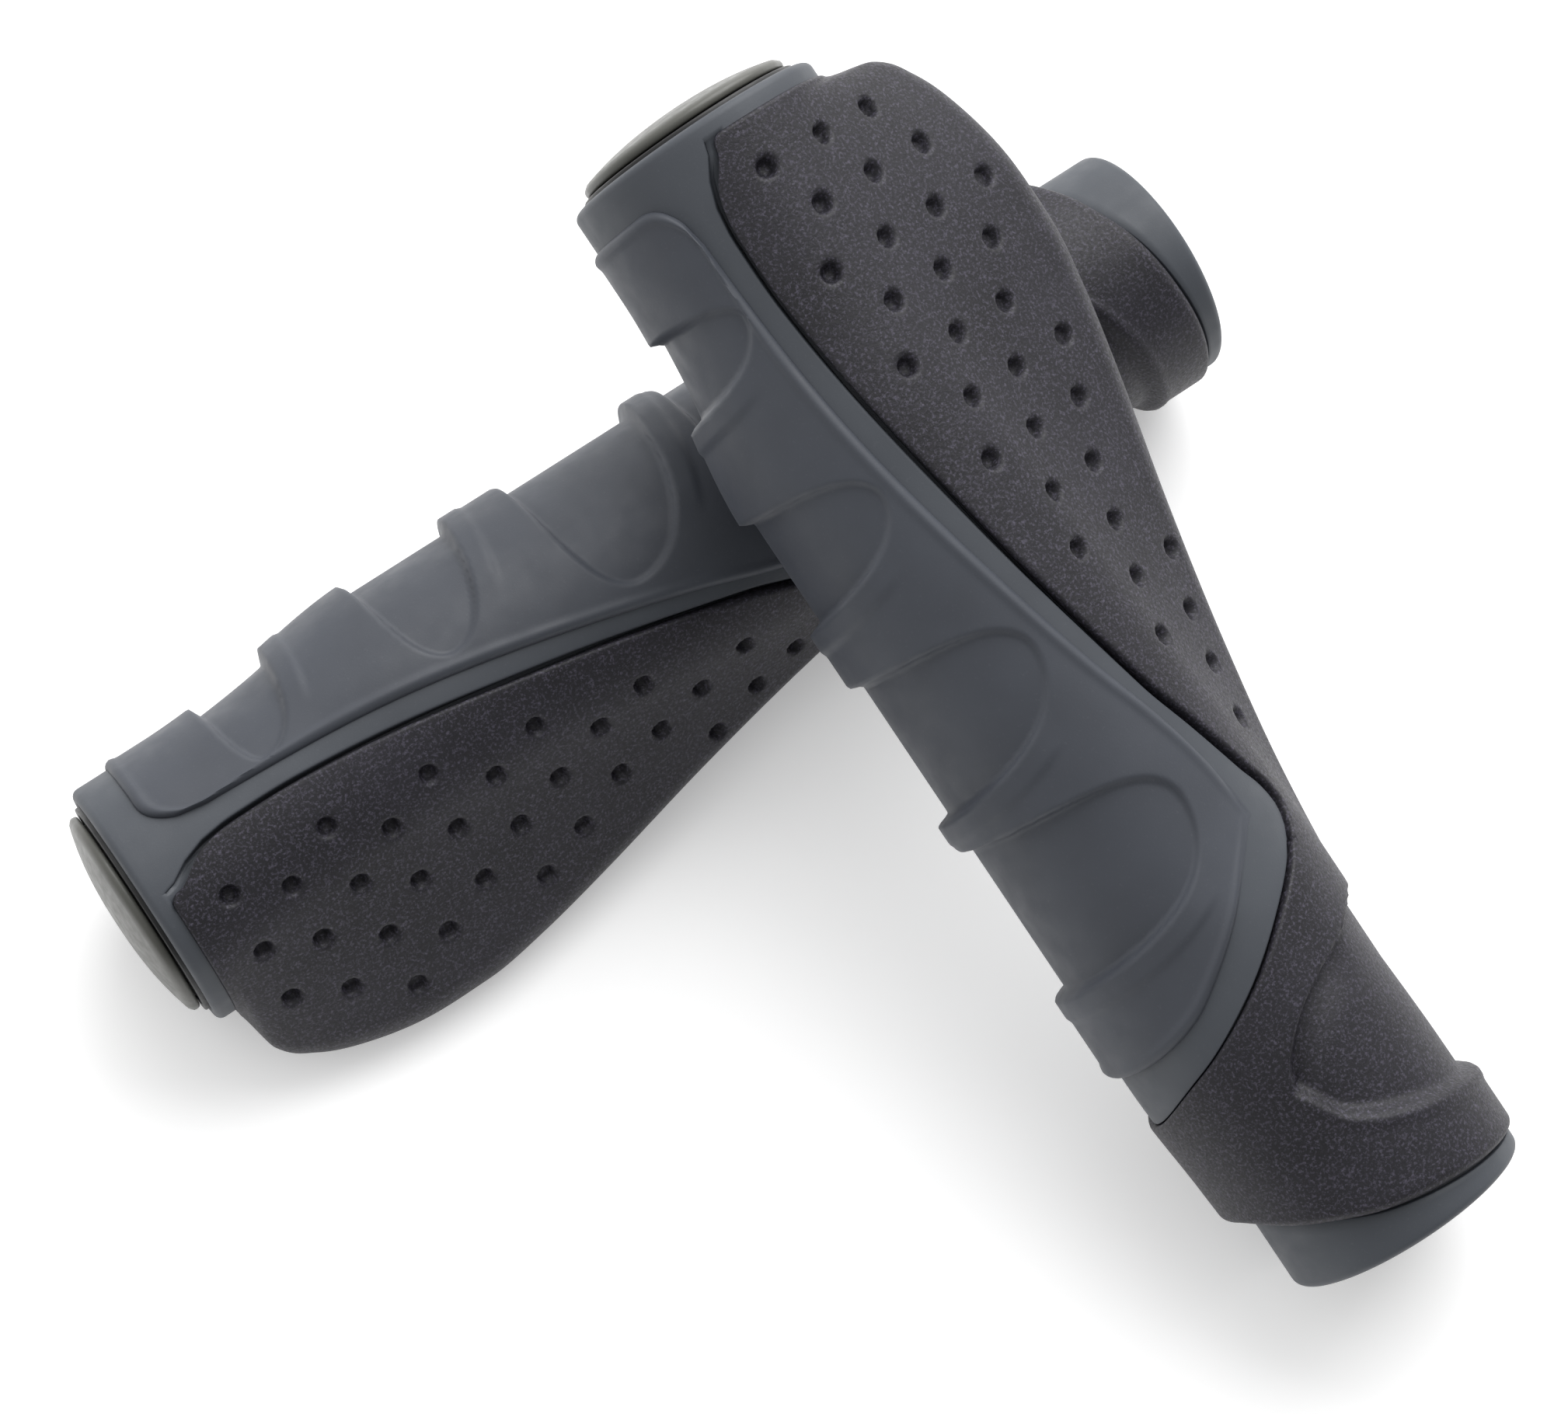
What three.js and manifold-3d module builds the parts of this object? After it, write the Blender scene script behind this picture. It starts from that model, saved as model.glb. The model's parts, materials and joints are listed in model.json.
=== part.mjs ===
// A left and a right bar end grip for a bicycle, lying crossed, each built from its own pieces.
// Millimetres, Z up. Each grip is modelled in its own frame first: X runs along the bore from the
// inboard end to the outboard end, Y points at the tip of the palm wing, Z points at the top.
import * as THREE from 'three';
import { mergeVertices } from 'three/addons/utils/BufferGeometryUtils.js';
import Module from 'manifold-3d';

// ---- driving dimensions ----
const GRIP_LENGTH = 135;
const BAR_BORE_R = 11.1;
const CORE_OUTER_R = 11.9;
const RUBBER_BORE_R = 12.15;
const RIM_R = 14.2;
const COLLAR_R = 13.8;
const RIM_ROUNDING = 1.5;

const PAD_STANDS_PROUD = 1.2;
const REST_GAP = 0.25;
const PANEL_POCKET = 0.8;
const WING_TIP_ROUNDING = 4.6;
const PAD_OUTBOARD_END = 132.8;
const LOBE_START = 41;
const SCALLOP_DEPTH = 1.5;
const SCALLOP_END_DEPTH = 0.5;
const SCALLOP_WALL = 1.2;
const LAND_HEIGHT = 0.5;
const THUMB_RECESS_DEPTH = 1.1;

// How the two grips lie: the left one on the floor, the right one across it.
const LEFT_WING_DIP = 28;
const RIGHT_WING_DIP = -2;
const RIGHT_SLOPE = 19.1;
const RIGHT_TURN = 1.2;
const RIGHT_END_BESIDE = 23.9;
const RIGHT_END_BEHIND = 103.7;

const ROUND_SEGMENTS = 24;

// ---- outlines: [distance from the inboard end, value], value in mm or degrees ----
// Radius at the wing tip.
const WING_REACH = curve([
  [0, 14.1], [30, 14.1], [45, 15.2], [60, 17.6], [75, 20.7], [90, 24.3],
  [100, 26.4], [108, 27.4], [116, 27.2], [123, 25.7], [128, 23.6], [131.4, 20.6], [132.8, 15.4],
]);
// Mean radius of the round part, and how far its middle leans to the finger side.
const ROUND_RADIUS = curve([[0, 15.3], [14, 15.6], [24, 15.8], [98, 15.8], [114, 15.3], [135, 15.2]]);
const FINGER_LEAN = curve([[0, 0.7], [14, 1.1], [28, 1.8], [98, 1.8], [114, 0.5], [126, 0], [135, 0]]);
// Angle of the palm pad's upper and lower edges.
const PAD_UPPER_EDGE = curve([
  [41, 57], [44, 55], [48.4, 60], [59, 76.5], [68, 86.5], [79, 94], [92, 101.5],
  [102, 106], [114, 110.3], [122, 110.5], [128, 107], [132.8, 97],
]);
const PAD_LOWER_EDGE = curve([[41, -57], [60, -56], [80, -51], [108, -44], [124, -44], [132.8, -50]]);
// Angle of the finger panel's upper and lower edges.
const PANEL_UPPER_EDGE = curve([
  [29, 62], [44, 64], [52, 71.5], [59, 81], [68, 91.5], [79, 99.5], [92, 108.5],
  [104, 116.5], [116, 120], [131, 122],
]);
const PANEL_LOWER_EDGE = curve([[29, 292], [60, 288], [80, 280], [104, 268], [131, 258]]);

// ---- outlines: [angle round the axis, distance from the inboard end] ----
// Where the collar ends and the pad begins, and where the pad's thumb band ends.
const COLLAR_EDGE = curve([
  [-60, 4.2], [0, 2.6], [40, 2.7], [70, 3.3], [108, 5], [135, 7.2], [173, 9.8],
  [220, 9], [260, 6], [300, 4.2],
]);
const BAND_EDGE = curve([
  [-57, 41], [57, 41], [77, 37], [107, 31], [138, 26.6], [185, 22.8],
  [222, 25], [253, 31], [283, 37], [303, 41],
]);
const PANEL_INBOARD_EDGE = curve([
  [60, 46], [75, 43.5], [97, 38], [113, 34.5], [128, 31.8], [150, 30], [180, 29.5],
  [210, 30.5], [240, 34], [265, 39], [292, 45],
]);
const PANEL_OUTBOARD_EDGE = curve([
  [121, 124], [124, 127.5], [132, 130], [145, 130.4], [235, 130.4], [248, 130],
  [256, 127.5], [259, 124],
]);
// The two sides of the thumb recess.
const RECESS_INBOARD = curve([[-60, 9], [20, 9], [49, 10], [78, 12], [101, 15.2], [114, 20]]);
const RECESS_OUTBOARD = curve([[-60, 33], [20, 33], [64, 30.4], [90, 27.8], [108, 23.5], [114, 20]]);

// Finger scallops, each an arch: its two sides and its crown as distances from the inboard end,
// the crown's angle, and how far the inboard shoulder droops.
const SCALLOPS = [
  { inboard: 39, crown: 51.6, outboard: 58, top: 86, droop: 35 },
  { inboard: 60.9, crown: 72.6, outboard: 78.5, top: 101.5, droop: 35 },
  { inboard: 85, crown: 93.6, outboard: 98.8, top: 116.5, droop: 35 },
  { inboard: 109.7, crown: 116.3, outboard: 119.4, top: 123.5, droop: 22 },
];
const OUTBOARD_DROOP = 20;
const SCALLOP_UNDERSIDE = 240;
const PANEL_ROWS = [
  30, 35, 38.4, 39.6, 43, 47.5, 52, 55.5, 57.4, 58.6, 60.3, 61.5, 65.5, 70, 74.5, 77.9, 79.1,
  82, 84.4, 85.6, 89, 93.5, 97, 98.2, 99.4, 104, 109.1, 110.3, 113, 116, 118.8, 120, 125, 130,
];
const PANEL_COLUMNS = 12;

const LOBE_FIXED_ANGLES = [-12, -6, 0, 6, 12];
const LOBE_ROWS = [
  41, 49, 58, 67, 76, 85, 93, 101, 108, 115, 121, 126, 129.4, 131.6, PAD_OUTBOARD_END,
];
const BAND_ROWS = 5;
const FINGER_COLUMNS = 15;

const COLORS = {
  core_sleeve: 0x1d1d1f,
  grip_body: 0x8b919b,
  finger_panel: 0x7d8588,
  palm_pad: 0x47464b,
  gel_insert: 0x9fb4c4,
  plug_collar: 0x4a4b4d,
  plug_cap: 0x77766f,
  plug_wedge: 0x2c2c2e,
  plug_washer: 0xb4b6b8,
  plug_screw: 0x9a9ca0,
};

// ---- small helpers ----

// A smooth line through the given points, flat beyond both ends.
function curve(points) {
  const slopes = points.map((point, i) => {
    const before = points[Math.max(i - 1, 0)];
    const after = points[Math.min(i + 1, points.length - 1)];
    const rising = (point[1] - before[1]) * (after[1] - point[1]) > 0;
    return rising ? (after[1] - before[1]) / (after[0] - before[0]) : 0;
  });
  return (x) => {
    if (x <= points[0][0]) return points[0][1];
    const i = points.findIndex((point) => point[0] > x);
    if (i < 0) return points[points.length - 1][1];
    const [x0, y0] = points[i - 1];
    const [x1, y1] = points[i];
    const span = x1 - x0;
    const t = (x - x0) / span;
    const rise = t * t * (3 - 2 * t);
    const leave = t * (1 - t) * (1 - t) * span * slopes[i - 1];
    const arrive = t * t * (t - 1) * span * slopes[i];
    return y0 + (y1 - y0) * rise + leave + arrive;
  };
}

function smooth(t) {
  const c = Math.min(Math.max(t, 0), 1);
  return c * c * (3 - 2 * c);
}

function mix(a, b, t) {
  return a + (b - a) * t;
}

function turn(degrees) {
  return THREE.MathUtils.degToRad(degrees);
}

// The angle in -180..180 for the wing, and in -60..300 for outlines drawn round the finger side.
function wingAngle(angle) {
  return angle > 180 ? angle - 360 : angle;
}

// ---- the grip's surfaces ----

// Distance from the axis to a round of radius `round` joined by two flats to a rounded wing tip.
function wingSection(angle, round, reach) {
  if (reach <= round + 0.01) return round;
  const away = Math.abs(wingAngle(angle));
  const tipOffset = reach - WING_TIP_ROUNDING;
  const flatNormal = Math.acos(Math.max((round - WING_TIP_ROUNDING) / tipOffset, -1));
  const tipEnd = Math.atan2(
    WING_TIP_ROUNDING * Math.sin(flatNormal),
    tipOffset + WING_TIP_ROUNDING * Math.cos(flatNormal),
  );
  const a = turn(away);
  if (a >= flatNormal) return round;
  if (a >= tipEnd) return round / Math.cos(a - flatNormal);
  return tipOffset * Math.cos(a) + Math.sqrt(WING_TIP_ROUNDING ** 2 - (tipOffset * Math.sin(a)) ** 2);
}

// How deep the thumb recess is: 0 outside it, 1 on its floor.
function thumbRecess(u, angle) {
  const a = wingAngle(angle);
  if (a > 114 || a < -60) return 0;
  const inside = Math.min(u - RECESS_INBOARD(a), RECESS_OUTBOARD(a) - u);
  return smooth(inside / 4.5) * smooth((a + 60) / 50);
}

// The smooth outer skin of the pad and of the lands between the scallops.
function skin(u, angle) {
  const lean = FINGER_LEAN(u) * Math.cos(turn(angle));
  const round = ROUND_RADIUS(u);
  const full = wingSection(angle, round, WING_REACH(u) + FINGER_LEAN(u)) - lean;
  const start = smooth((u - COLLAR_EDGE(angle)) / 7);
  return mix(COLLAR_R + 0.9, full, start) - THUMB_RECESS_DEPTH * thumbRecess(u, angle);
}

// The rubber body's own surface, which shows as the rim, the collar and the strip beside the pad.
function base(u, angle) {
  const under = skin(u, angle) - PAD_STANDS_PROUD;
  const start = smooth((u - COLLAR_EDGE(angle)) / 5);
  const end = smooth((PAD_OUTBOARD_END + 0.3 - u) / 3);
  const rim = u < LOBE_START ? COLLAR_R : RIM_R;
  return Math.max(mix(rim, under, start * end), RUBBER_BORE_R + 0.5);
}

// How far the lands between the scallops stand above the skin.
function landHeight(u, angle) {
  const across = smooth((angle - 125) / 45) * smooth((SCALLOP_UNDERSIDE - angle) / 25);
  return LAND_HEIGHT * across * smooth((124 - u) / 20);
}

// How far a point lies inside the arch of one scallop, in mm measured square to its outline.
function insideArch(u, angle, { inboard, crown, outboard, top, droop }) {
  const side = u < crown ? inboard : outboard;
  const across = (u - crown) / (side - crown);
  if (across >= 0.995) return -SCALLOP_WALL;
  const fall = u < crown ? droop : OUTBOARD_DROOP;
  const flank = 1 - across * across;
  const outline = top + (fall * across * across) / Math.sqrt(flank);
  const slope = (fall * across * (2 - across * across)) / flank ** 1.5 / (side - crown);
  const arc = turn(ROUND_RADIUS(u));
  return (arc * (angle - outline)) / Math.hypot(1, arc * slope);
}

// Depth of the finger scallops.
function scallopDepth(u, angle) {
  let depth = 0;
  for (const scallop of SCALLOPS) {
    const wall = smooth(insideArch(u, angle, scallop) / SCALLOP_WALL + 0.5);
    const full = mix(SCALLOP_END_DEPTH, SCALLOP_DEPTH, smooth((angle - scallop.top) / 60));
    depth = Math.max(depth, full * wall);
  }
  return depth * smooth((SCALLOP_UNDERSIDE - angle) / 25);
}

// ---- the shared grid under the pad and the body ----

// Angle of one grid column at distance u: the lobe columns first, then those of the finger side.
function columnAngle(column, u) {
  const low = PAD_LOWER_EDGE(u);
  const high = PAD_UPPER_EDGE(u);
  const fixed = LOBE_FIXED_ANGLES;
  const first = fixed[0];
  const last = fixed[fixed.length - 1];
  if (column < 3) return mix(low, first, column / 3);
  if (column < 3 + fixed.length) return fixed[column - 3];
  const afterTip = column - 2 - fixed.length;
  if (afterTip <= 4) return mix(last, high, afterTip / 4);
  return mix(high, low + 360, (afterTip - 4) / FINGER_COLUMNS);
}

const LOBE_COLUMNS = 3 + LOBE_FIXED_ANGLES.length - 1 + 4;
const COLUMNS = LOBE_COLUMNS + FINGER_COLUMNS;

// One grid point: rows 0..BAND_ROWS cross the thumb band, the later ones run on to the outboard end.
function gridPoint(row, column) {
  const atBand = columnAngle(column, LOBE_START);
  const bandEnd = BAND_EDGE(atBand);
  if (row <= BAND_ROWS) {
    return { u: mix(COLLAR_EDGE(atBand), bandEnd, row / BAND_ROWS), angle: atBand };
  }
  const along = (LOBE_ROWS[row - BAND_ROWS] - LOBE_START) / (PAD_OUTBOARD_END - LOBE_START);
  const u = mix(bandEnd, PAD_OUTBOARD_END, along);
  return { u, angle: columnAngle(column, u) };
}

function place(u, angle, radius) {
  return [u, radius * Math.cos(turn(angle)), radius * Math.sin(turn(angle))];
}

// ---- mesh builders ----

function meshFrom(positions, indices) {
  const geometry = new THREE.BufferGeometry();
  geometry.setAttribute('position', new THREE.Float32BufferAttribute(positions.flat(), 3));
  geometry.setIndex(indices.flat());
  return geometry;
}

// A closed shell over a patch of quads: outer side, inner side and a wall along every open edge.
function shell(points, quads, inner, outer) {
  const count = points.length;
  const positions = [
    ...points.map(({ u, angle }) => place(u, angle, outer(u, angle))),
    ...points.map(({ u, angle }) => place(u, angle, inner(u, angle))),
  ];
  const indices = [];
  const edges = new Map();
  for (const [a, b, c, d] of quads) {
    indices.push([a, b, c], [a, c, d]);
    indices.push([count + a, count + c, count + b], [count + a, count + d, count + c]);
    for (const [from, to] of [[a, b], [b, c], [c, d], [d, a]]) {
      if (!edges.delete(`${to},${from}`)) edges.set(`${from},${to}`, [from, to]);
    }
  }
  for (const [from, to] of edges.values()) {
    indices.push([from, count + from, count + to], [from, count + to, to]);
  }
  return meshFrom(positions, indices);
}

// A closed tube skinned over rings that run round and end where they began.
function loopOfRings(rings) {
  const around = rings[0].length;
  const indices = [];
  rings.forEach((_, i) => {
    const next = (i + 1) % rings.length;
    for (let j = 0; j < around; j += 1) {
      const k = (j + 1) % around;
      const [a, b] = [i * around + j, i * around + k];
      const [c, d] = [next * around + k, next * around + j];
      indices.push([a, b, c], [a, c, d]);
    }
  });
  return meshFrom(rings.flat(), indices);
}

// A body of revolution about the bore; the profile is [distance along, radius] and closes itself.
function turned(profile, segments = ROUND_SEGMENTS) {
  const closed = [...profile, profile[0]].map(([along, radius]) => new THREE.Vector2(radius, along));
  const geometry = new THREE.LatheGeometry(closed, segments);
  geometry.rotateZ(-Math.PI / 2);
  return facingOut(clean(geometry));
}

function clean(geometry) {
  const bare = geometry.clone();
  bare.deleteAttribute('normal');
  bare.deleteAttribute('uv');
  return mergeVertices(bare, 1e-4);
}

function signedVolume(geometry) {
  const at = geometry.getAttribute('position');
  const index = geometry.getIndex();
  const [a, b, c] = [new THREE.Vector3(), new THREE.Vector3(), new THREE.Vector3()];
  let volume = 0;
  for (let i = 0; i < index.count; i += 3) {
    a.fromBufferAttribute(at, index.getX(i));
    b.fromBufferAttribute(at, index.getX(i + 1));
    c.fromBufferAttribute(at, index.getX(i + 2));
    volume += a.dot(b.cross(c)) / 6;
  }
  return volume;
}

function facingOut(geometry) {
  if (signedVolume(geometry) < 0) {
    const index = geometry.getIndex().array;
    for (let i = 0; i < index.length; i += 3) {
      [index[i], index[i + 1]] = [index[i + 1], index[i]];
    }
  }
  return geometry;
}

const wasm = await Module();
wasm.setup();

function toManifold(geometry) {
  const ready = clean(geometry);
  return new wasm.Manifold(new wasm.Mesh({
    numProp: 3,
    vertProperties: new Float32Array(ready.getAttribute('position').array),
    triVerts: new Uint32Array(ready.getIndex().array),
  }));
}

function subtract(geometry, cutters) {
  let solid = toManifold(geometry);
  for (const cutter of cutters) solid = solid.subtract(toManifold(cutter));
  const mesh = solid.getMesh();
  const result = new THREE.BufferGeometry();
  result.setAttribute('position', new THREE.Float32BufferAttribute(mesh.vertProperties, 3));
  result.setIndex(Array.from(mesh.triVerts));
  return result;
}

// ---- pieces of one grip ----

function coreSleeve() {
  return turned([
    [0.6, BAR_BORE_R], [0.6, CORE_OUTER_R], [134.3, CORE_OUTER_R], [134.3, 12.9],
    [135.3, 12.9], [135.5, 12.7], [135.5, BAR_BORE_R],
  ]);
}

// The panel's patch, wider all round by `grow`. Its rows lie close together at the scallops' sides.
function panelPatch(grow) {
  const first = PANEL_ROWS[0];
  const last = PANEL_ROWS[PANEL_ROWS.length - 1];
  const edgeGrow = grow / turn(1) / 15;
  const points = [];
  const quads = [];
  PANEL_ROWS.forEach((row, i) => {
    const along = (row - first) / (last - first);
    for (let j = 0; j <= PANEL_COLUMNS; j += 1) {
      const round = j / PANEL_COLUMNS;
      let u = row;
      let angle = 190;
      for (let pass = 0; pass < 6; pass += 1) {
        angle = mix(PANEL_UPPER_EDGE(u) - edgeGrow, PANEL_LOWER_EDGE(u) + edgeGrow, round);
        u = mix(PANEL_INBOARD_EDGE(angle) - grow, PANEL_OUTBOARD_EDGE(angle) + grow, along);
      }
      points.push({ u, angle });
      if (row < last && j < PANEL_COLUMNS) {
        const a = i * (PANEL_COLUMNS + 1) + j;
        quads.push([a, a + 1, a + PANEL_COLUMNS + 2, a + PANEL_COLUMNS + 1]);
      }
    }
  });
  return { points, quads };
}

function fingerPanel() {
  const { points, quads } = panelPatch(0);
  const inner = (u, angle) => base(u, angle) - PANEL_POCKET;
  const outer = (u, angle) => skin(u, angle) + landHeight(u, angle) - scallopDepth(u, angle);
  return facingOut(shell(points, quads, inner, outer));
}

function panelPocket() {
  const { points, quads } = panelPatch(REST_GAP);
  const floor = (u, angle) => base(u, angle) - PANEL_POCKET - REST_GAP;
  const above = (u, angle) => base(u, angle) + 3;
  return facingOut(shell(points, quads, floor, above));
}

function palmPad() {
  const points = [];
  const quads = [];
  const numbered = new Map();
  const number = (row, column) => {
    const key = `${row},${column % COLUMNS}`;
    if (!numbered.has(key)) {
      numbered.set(key, points.length);
      points.push(gridPoint(row, column % COLUMNS));
    }
    return numbered.get(key);
  };
  const rows = BAND_ROWS + LOBE_ROWS.length - 1;
  for (let row = 0; row < rows; row += 1) {
    const width = row < BAND_ROWS ? COLUMNS : LOBE_COLUMNS;
    for (let column = 0; column < width; column += 1) {
      quads.push([
        number(row, column), number(row, column + 1),
        number(row + 1, column + 1), number(row + 1, column),
      ]);
    }
  }
  const inner = (u, angle) => base(u, angle) + REST_GAP;
  return facingOut(shell(points, quads, inner, skin));
}

function gelPatch(grow) {
  const rows = 8;
  const columns = 11;
  const points = [];
  const quads = [];
  for (let i = 0; i <= rows; i += 1) {
    for (let j = 0; j <= columns; j += 1) {
      const spread = mix(-36 - grow, 36 + grow, j / columns);
      points.push({ u: mix(80 - grow, 122 + grow, i / rows), angle: spread });
      if (i < rows && j < columns) {
        const a = i * (columns + 1) + j;
        quads.push([a, a + 1, a + columns + 2, a + columns + 1]);
      }
    }
  }
  return { points, quads };
}

function gelInsert() {
  const { points, quads } = gelPatch(0);
  const outer = (u, angle) => base(u, angle) - 0.6;
  const inner = (u, angle) => 13.9 - 0.004 * (u - 80) - 0.0015 * angle;
  return facingOut(shell(points, quads, inner, outer));
}

function gelPocket() {
  const { points, quads } = gelPatch(0.8);
  const above = (u, angle) => base(u, angle) + 3;
  return facingOut(shell(points, quads, () => 13.5, above));
}

function gripBody() {
  const columns = [...Array(COLUMNS).keys()];
  const ringAt = (u, radius) => columns.map((j) => place(u, columnAngle(j, u), radius));
  const boreRing = (u, radius) => columns.map((j) => place(u, columnAngle(j, 0), radius));
  const rows = [...Array(BAND_ROWS + LOBE_ROWS.length).keys()];
  const outerRings = rows.map((row) => columns.map((j) => {
    const { u, angle } = gridPoint(row, j);
    return place(u, angle, base(u, angle));
  }));
  const rings = [
    boreRing(GRIP_LENGTH, 13.1),
    boreRing(134.05, 13.1),
    boreRing(134.05, RUBBER_BORE_R),
    boreRing(0, RUBBER_BORE_R),
    ringAt(0, COLLAR_R - RIM_ROUNDING * 0.5),
    ringAt(RIM_ROUNDING * 0.5, COLLAR_R),
    ...outerRings,
    ringAt(GRIP_LENGTH - RIM_ROUNDING, RIM_R),
    ringAt(GRIP_LENGTH - RIM_ROUNDING * 0.25, RIM_R - RIM_ROUNDING * 0.3),
  ];
  const tube = facingOut(loopOfRings(rings));
  return subtract(tube, [panelPocket(), gelPocket()]);
}

// The plug's collar: a ring outside, and four legs inside the core that the wedge spreads.
function plugCollar() {
  const blank = turned([
    [122, 7.9], [122, 10.9], [135.7, 10.9], [135.7, 11.4], [136.1, 11.4],
    [136.1, 7.6], [131.6, 7.6], [131.6, 5.3], [129, 5.3], [129, 2.8], [127.6, 2.8], [127.6, 4.6],
  ]);
  const slots = [0, 90].map((angle) => {
    const slot = new THREE.BoxGeometry(10, 24, 1.4);
    slot.translate(124, 0, 0);
    slot.rotateX(turn(angle + 45));
    return slot;
  });
  return subtract(blank, slots);
}

function plugCap() {
  return turned([
    [136.9, 0], [136.9, 6.2], [132.4, 6.2], [132.4, 7.3], [136.4, 7.3], [136.4, 11.9],
    [136.7, 12.25], [137.2, 12.1], [137.8, 10.2], [138.2, 6.2], [138.35, 0],
  ]);
}

function plugWedge() {
  return turned([[114.5, 2.65], [114.5, 7.4], [122.1, 7.4], [127.4, 4.4], [127.4, 2.65]]);
}

function plugWasher() {
  return turned([[129.1, 2.8], [129.1, 4.9], [129.6, 4.9], [129.6, 2.8]]);
}

// A socket head cap screw; its six-sided socket is cut out of the head.
function plugScrew() {
  const blank = turned([
    [111, 0], [111, 2.1], [111.5, 2.5], [129.7, 2.5], [129.7, 4.2], [133.4, 4.2], [133.8, 3.8],
    [133.8, 0],
  ], 18);
  const socket = new THREE.CylinderGeometry(2.3, 2.3, 4, 6);
  socket.rotateZ(Math.PI / 2);
  socket.translate(133.4, 0, 0);
  return subtract(blank, [socket]);
}

const PIECES = {
  core_sleeve: coreSleeve,
  grip_body: gripBody,
  finger_panel: fingerPanel,
  palm_pad: palmPad,
  gel_insert: gelInsert,
  plug_collar: plugCollar,
  plug_cap: plugCap,
  plug_wedge: plugWedge,
  plug_washer: plugWasher,
  plug_screw: plugScrew,
};

// ---- the pair ----

// The mirror image of a geometry across the plane through its top and its bore.
function mirrored(geometry) {
  const flipped = geometry.clone();
  flipped.scale(1, -1, 1);
  return facingOut(flipped);
}

// The left grip lies along -X with its wing towards -Y.
function leftPlacement() {
  const roll = new THREE.Matrix4().makeRotationX(-turn(LEFT_WING_DIP));
  const halfTurn = new THREE.Matrix4().makeRotationZ(Math.PI);
  const centre = new THREE.Matrix4().makeTranslation(GRIP_LENGTH / 2, 0, 0);
  return centre.multiply(halfTurn).multiply(roll);
}

// The right grip points along +Y and upwards, with its wing towards +X.
function rightPlacement() {
  const roll = new THREE.Matrix4().makeRotationX(turn(RIGHT_WING_DIP));
  const quarterTurn = new THREE.Matrix4().makeRotationZ(Math.PI / 2);
  const lean = new THREE.Matrix4().makeRotationX(turn(RIGHT_SLOPE));
  const swing = new THREE.Matrix4().makeRotationZ(turn(RIGHT_TURN));
  const spot = new THREE.Matrix4().makeTranslation(RIGHT_END_BESIDE, -RIGHT_END_BEHIND, 0);
  return spot.multiply(swing).multiply(lean).multiply(quarterTurn).multiply(roll);
}

function addGrip(group, side, placement, reshape) {
  const meshes = Object.entries(PIECES).map(([name, build]) => {
    const geometry = reshape(clean(build())).applyMatrix4(placement);
    const material = new THREE.MeshStandardMaterial({ color: COLORS[name], roughness: 0.6 });
    const mesh = new THREE.Mesh(geometry, material);
    mesh.name = `${side}_${name}`;
    return mesh;
  });
  const lowest = boxOf(meshes).min.z;
  for (const mesh of meshes) {
    mesh.geometry.translate(0, 0, -lowest);
    group.add(mesh);
  }
}

function boxOf(meshes) {
  const box = new THREE.Box3();
  for (const mesh of meshes) box.expandByObject(mesh, true);
  return box;
}

const pair = new THREE.Group();
pair.name = 'bar_end_grips';
addGrip(pair, 'left', leftPlacement(), (geometry) => geometry);
addGrip(pair, 'right', rightPlacement(), mirrored);

const middle = boxOf(pair.children).getCenter(new THREE.Vector3());
for (const mesh of pair.children) mesh.geometry.translate(-middle.x, -middle.y, 0);

export default pair;
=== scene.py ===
"""A left and a right bar end grip, lying crossed: the looks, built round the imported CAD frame.

Every piece is modelled once in a grip's own frame, in millimetres, and then set down twice, the
right grip being the mirror image of the left. In that frame u runs along the bore from the inboard
end to the outboard end, and angle runs round it in degrees: 0 at the tip of the palm wing, 90 at
the top, 180 on the finger side.
"""

import json
import math

import bpy
import numpy as np
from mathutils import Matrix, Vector

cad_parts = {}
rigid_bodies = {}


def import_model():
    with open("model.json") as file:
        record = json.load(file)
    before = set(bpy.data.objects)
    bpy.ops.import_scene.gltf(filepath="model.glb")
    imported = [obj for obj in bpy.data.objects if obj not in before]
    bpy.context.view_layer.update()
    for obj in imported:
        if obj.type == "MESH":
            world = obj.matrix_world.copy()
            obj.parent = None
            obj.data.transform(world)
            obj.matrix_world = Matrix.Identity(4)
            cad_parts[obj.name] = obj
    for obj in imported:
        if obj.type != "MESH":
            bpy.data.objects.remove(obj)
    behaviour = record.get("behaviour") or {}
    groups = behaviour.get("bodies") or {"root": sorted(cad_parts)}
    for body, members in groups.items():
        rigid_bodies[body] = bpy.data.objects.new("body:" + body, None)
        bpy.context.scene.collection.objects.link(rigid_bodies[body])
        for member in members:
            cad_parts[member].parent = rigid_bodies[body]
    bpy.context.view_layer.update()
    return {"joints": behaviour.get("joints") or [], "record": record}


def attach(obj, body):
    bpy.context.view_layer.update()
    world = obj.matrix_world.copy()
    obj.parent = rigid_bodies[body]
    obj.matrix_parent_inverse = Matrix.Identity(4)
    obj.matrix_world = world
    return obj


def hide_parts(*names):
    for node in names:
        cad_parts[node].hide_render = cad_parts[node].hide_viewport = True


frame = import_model()

MM = 0.001

# ---- sizes of one grip, mm ----
GRIP_LENGTH = 135.0
RUBBER_BORE_R = 12.15
COLLAR_R = 13.8
END_ROUNDING = 0.9
WING_TIP_ROUNDING = 4.6
PAD_OUTBOARD_END = 132.8
LOBE_START = 41.0
LOBE_WIDEST = 104.0

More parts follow.
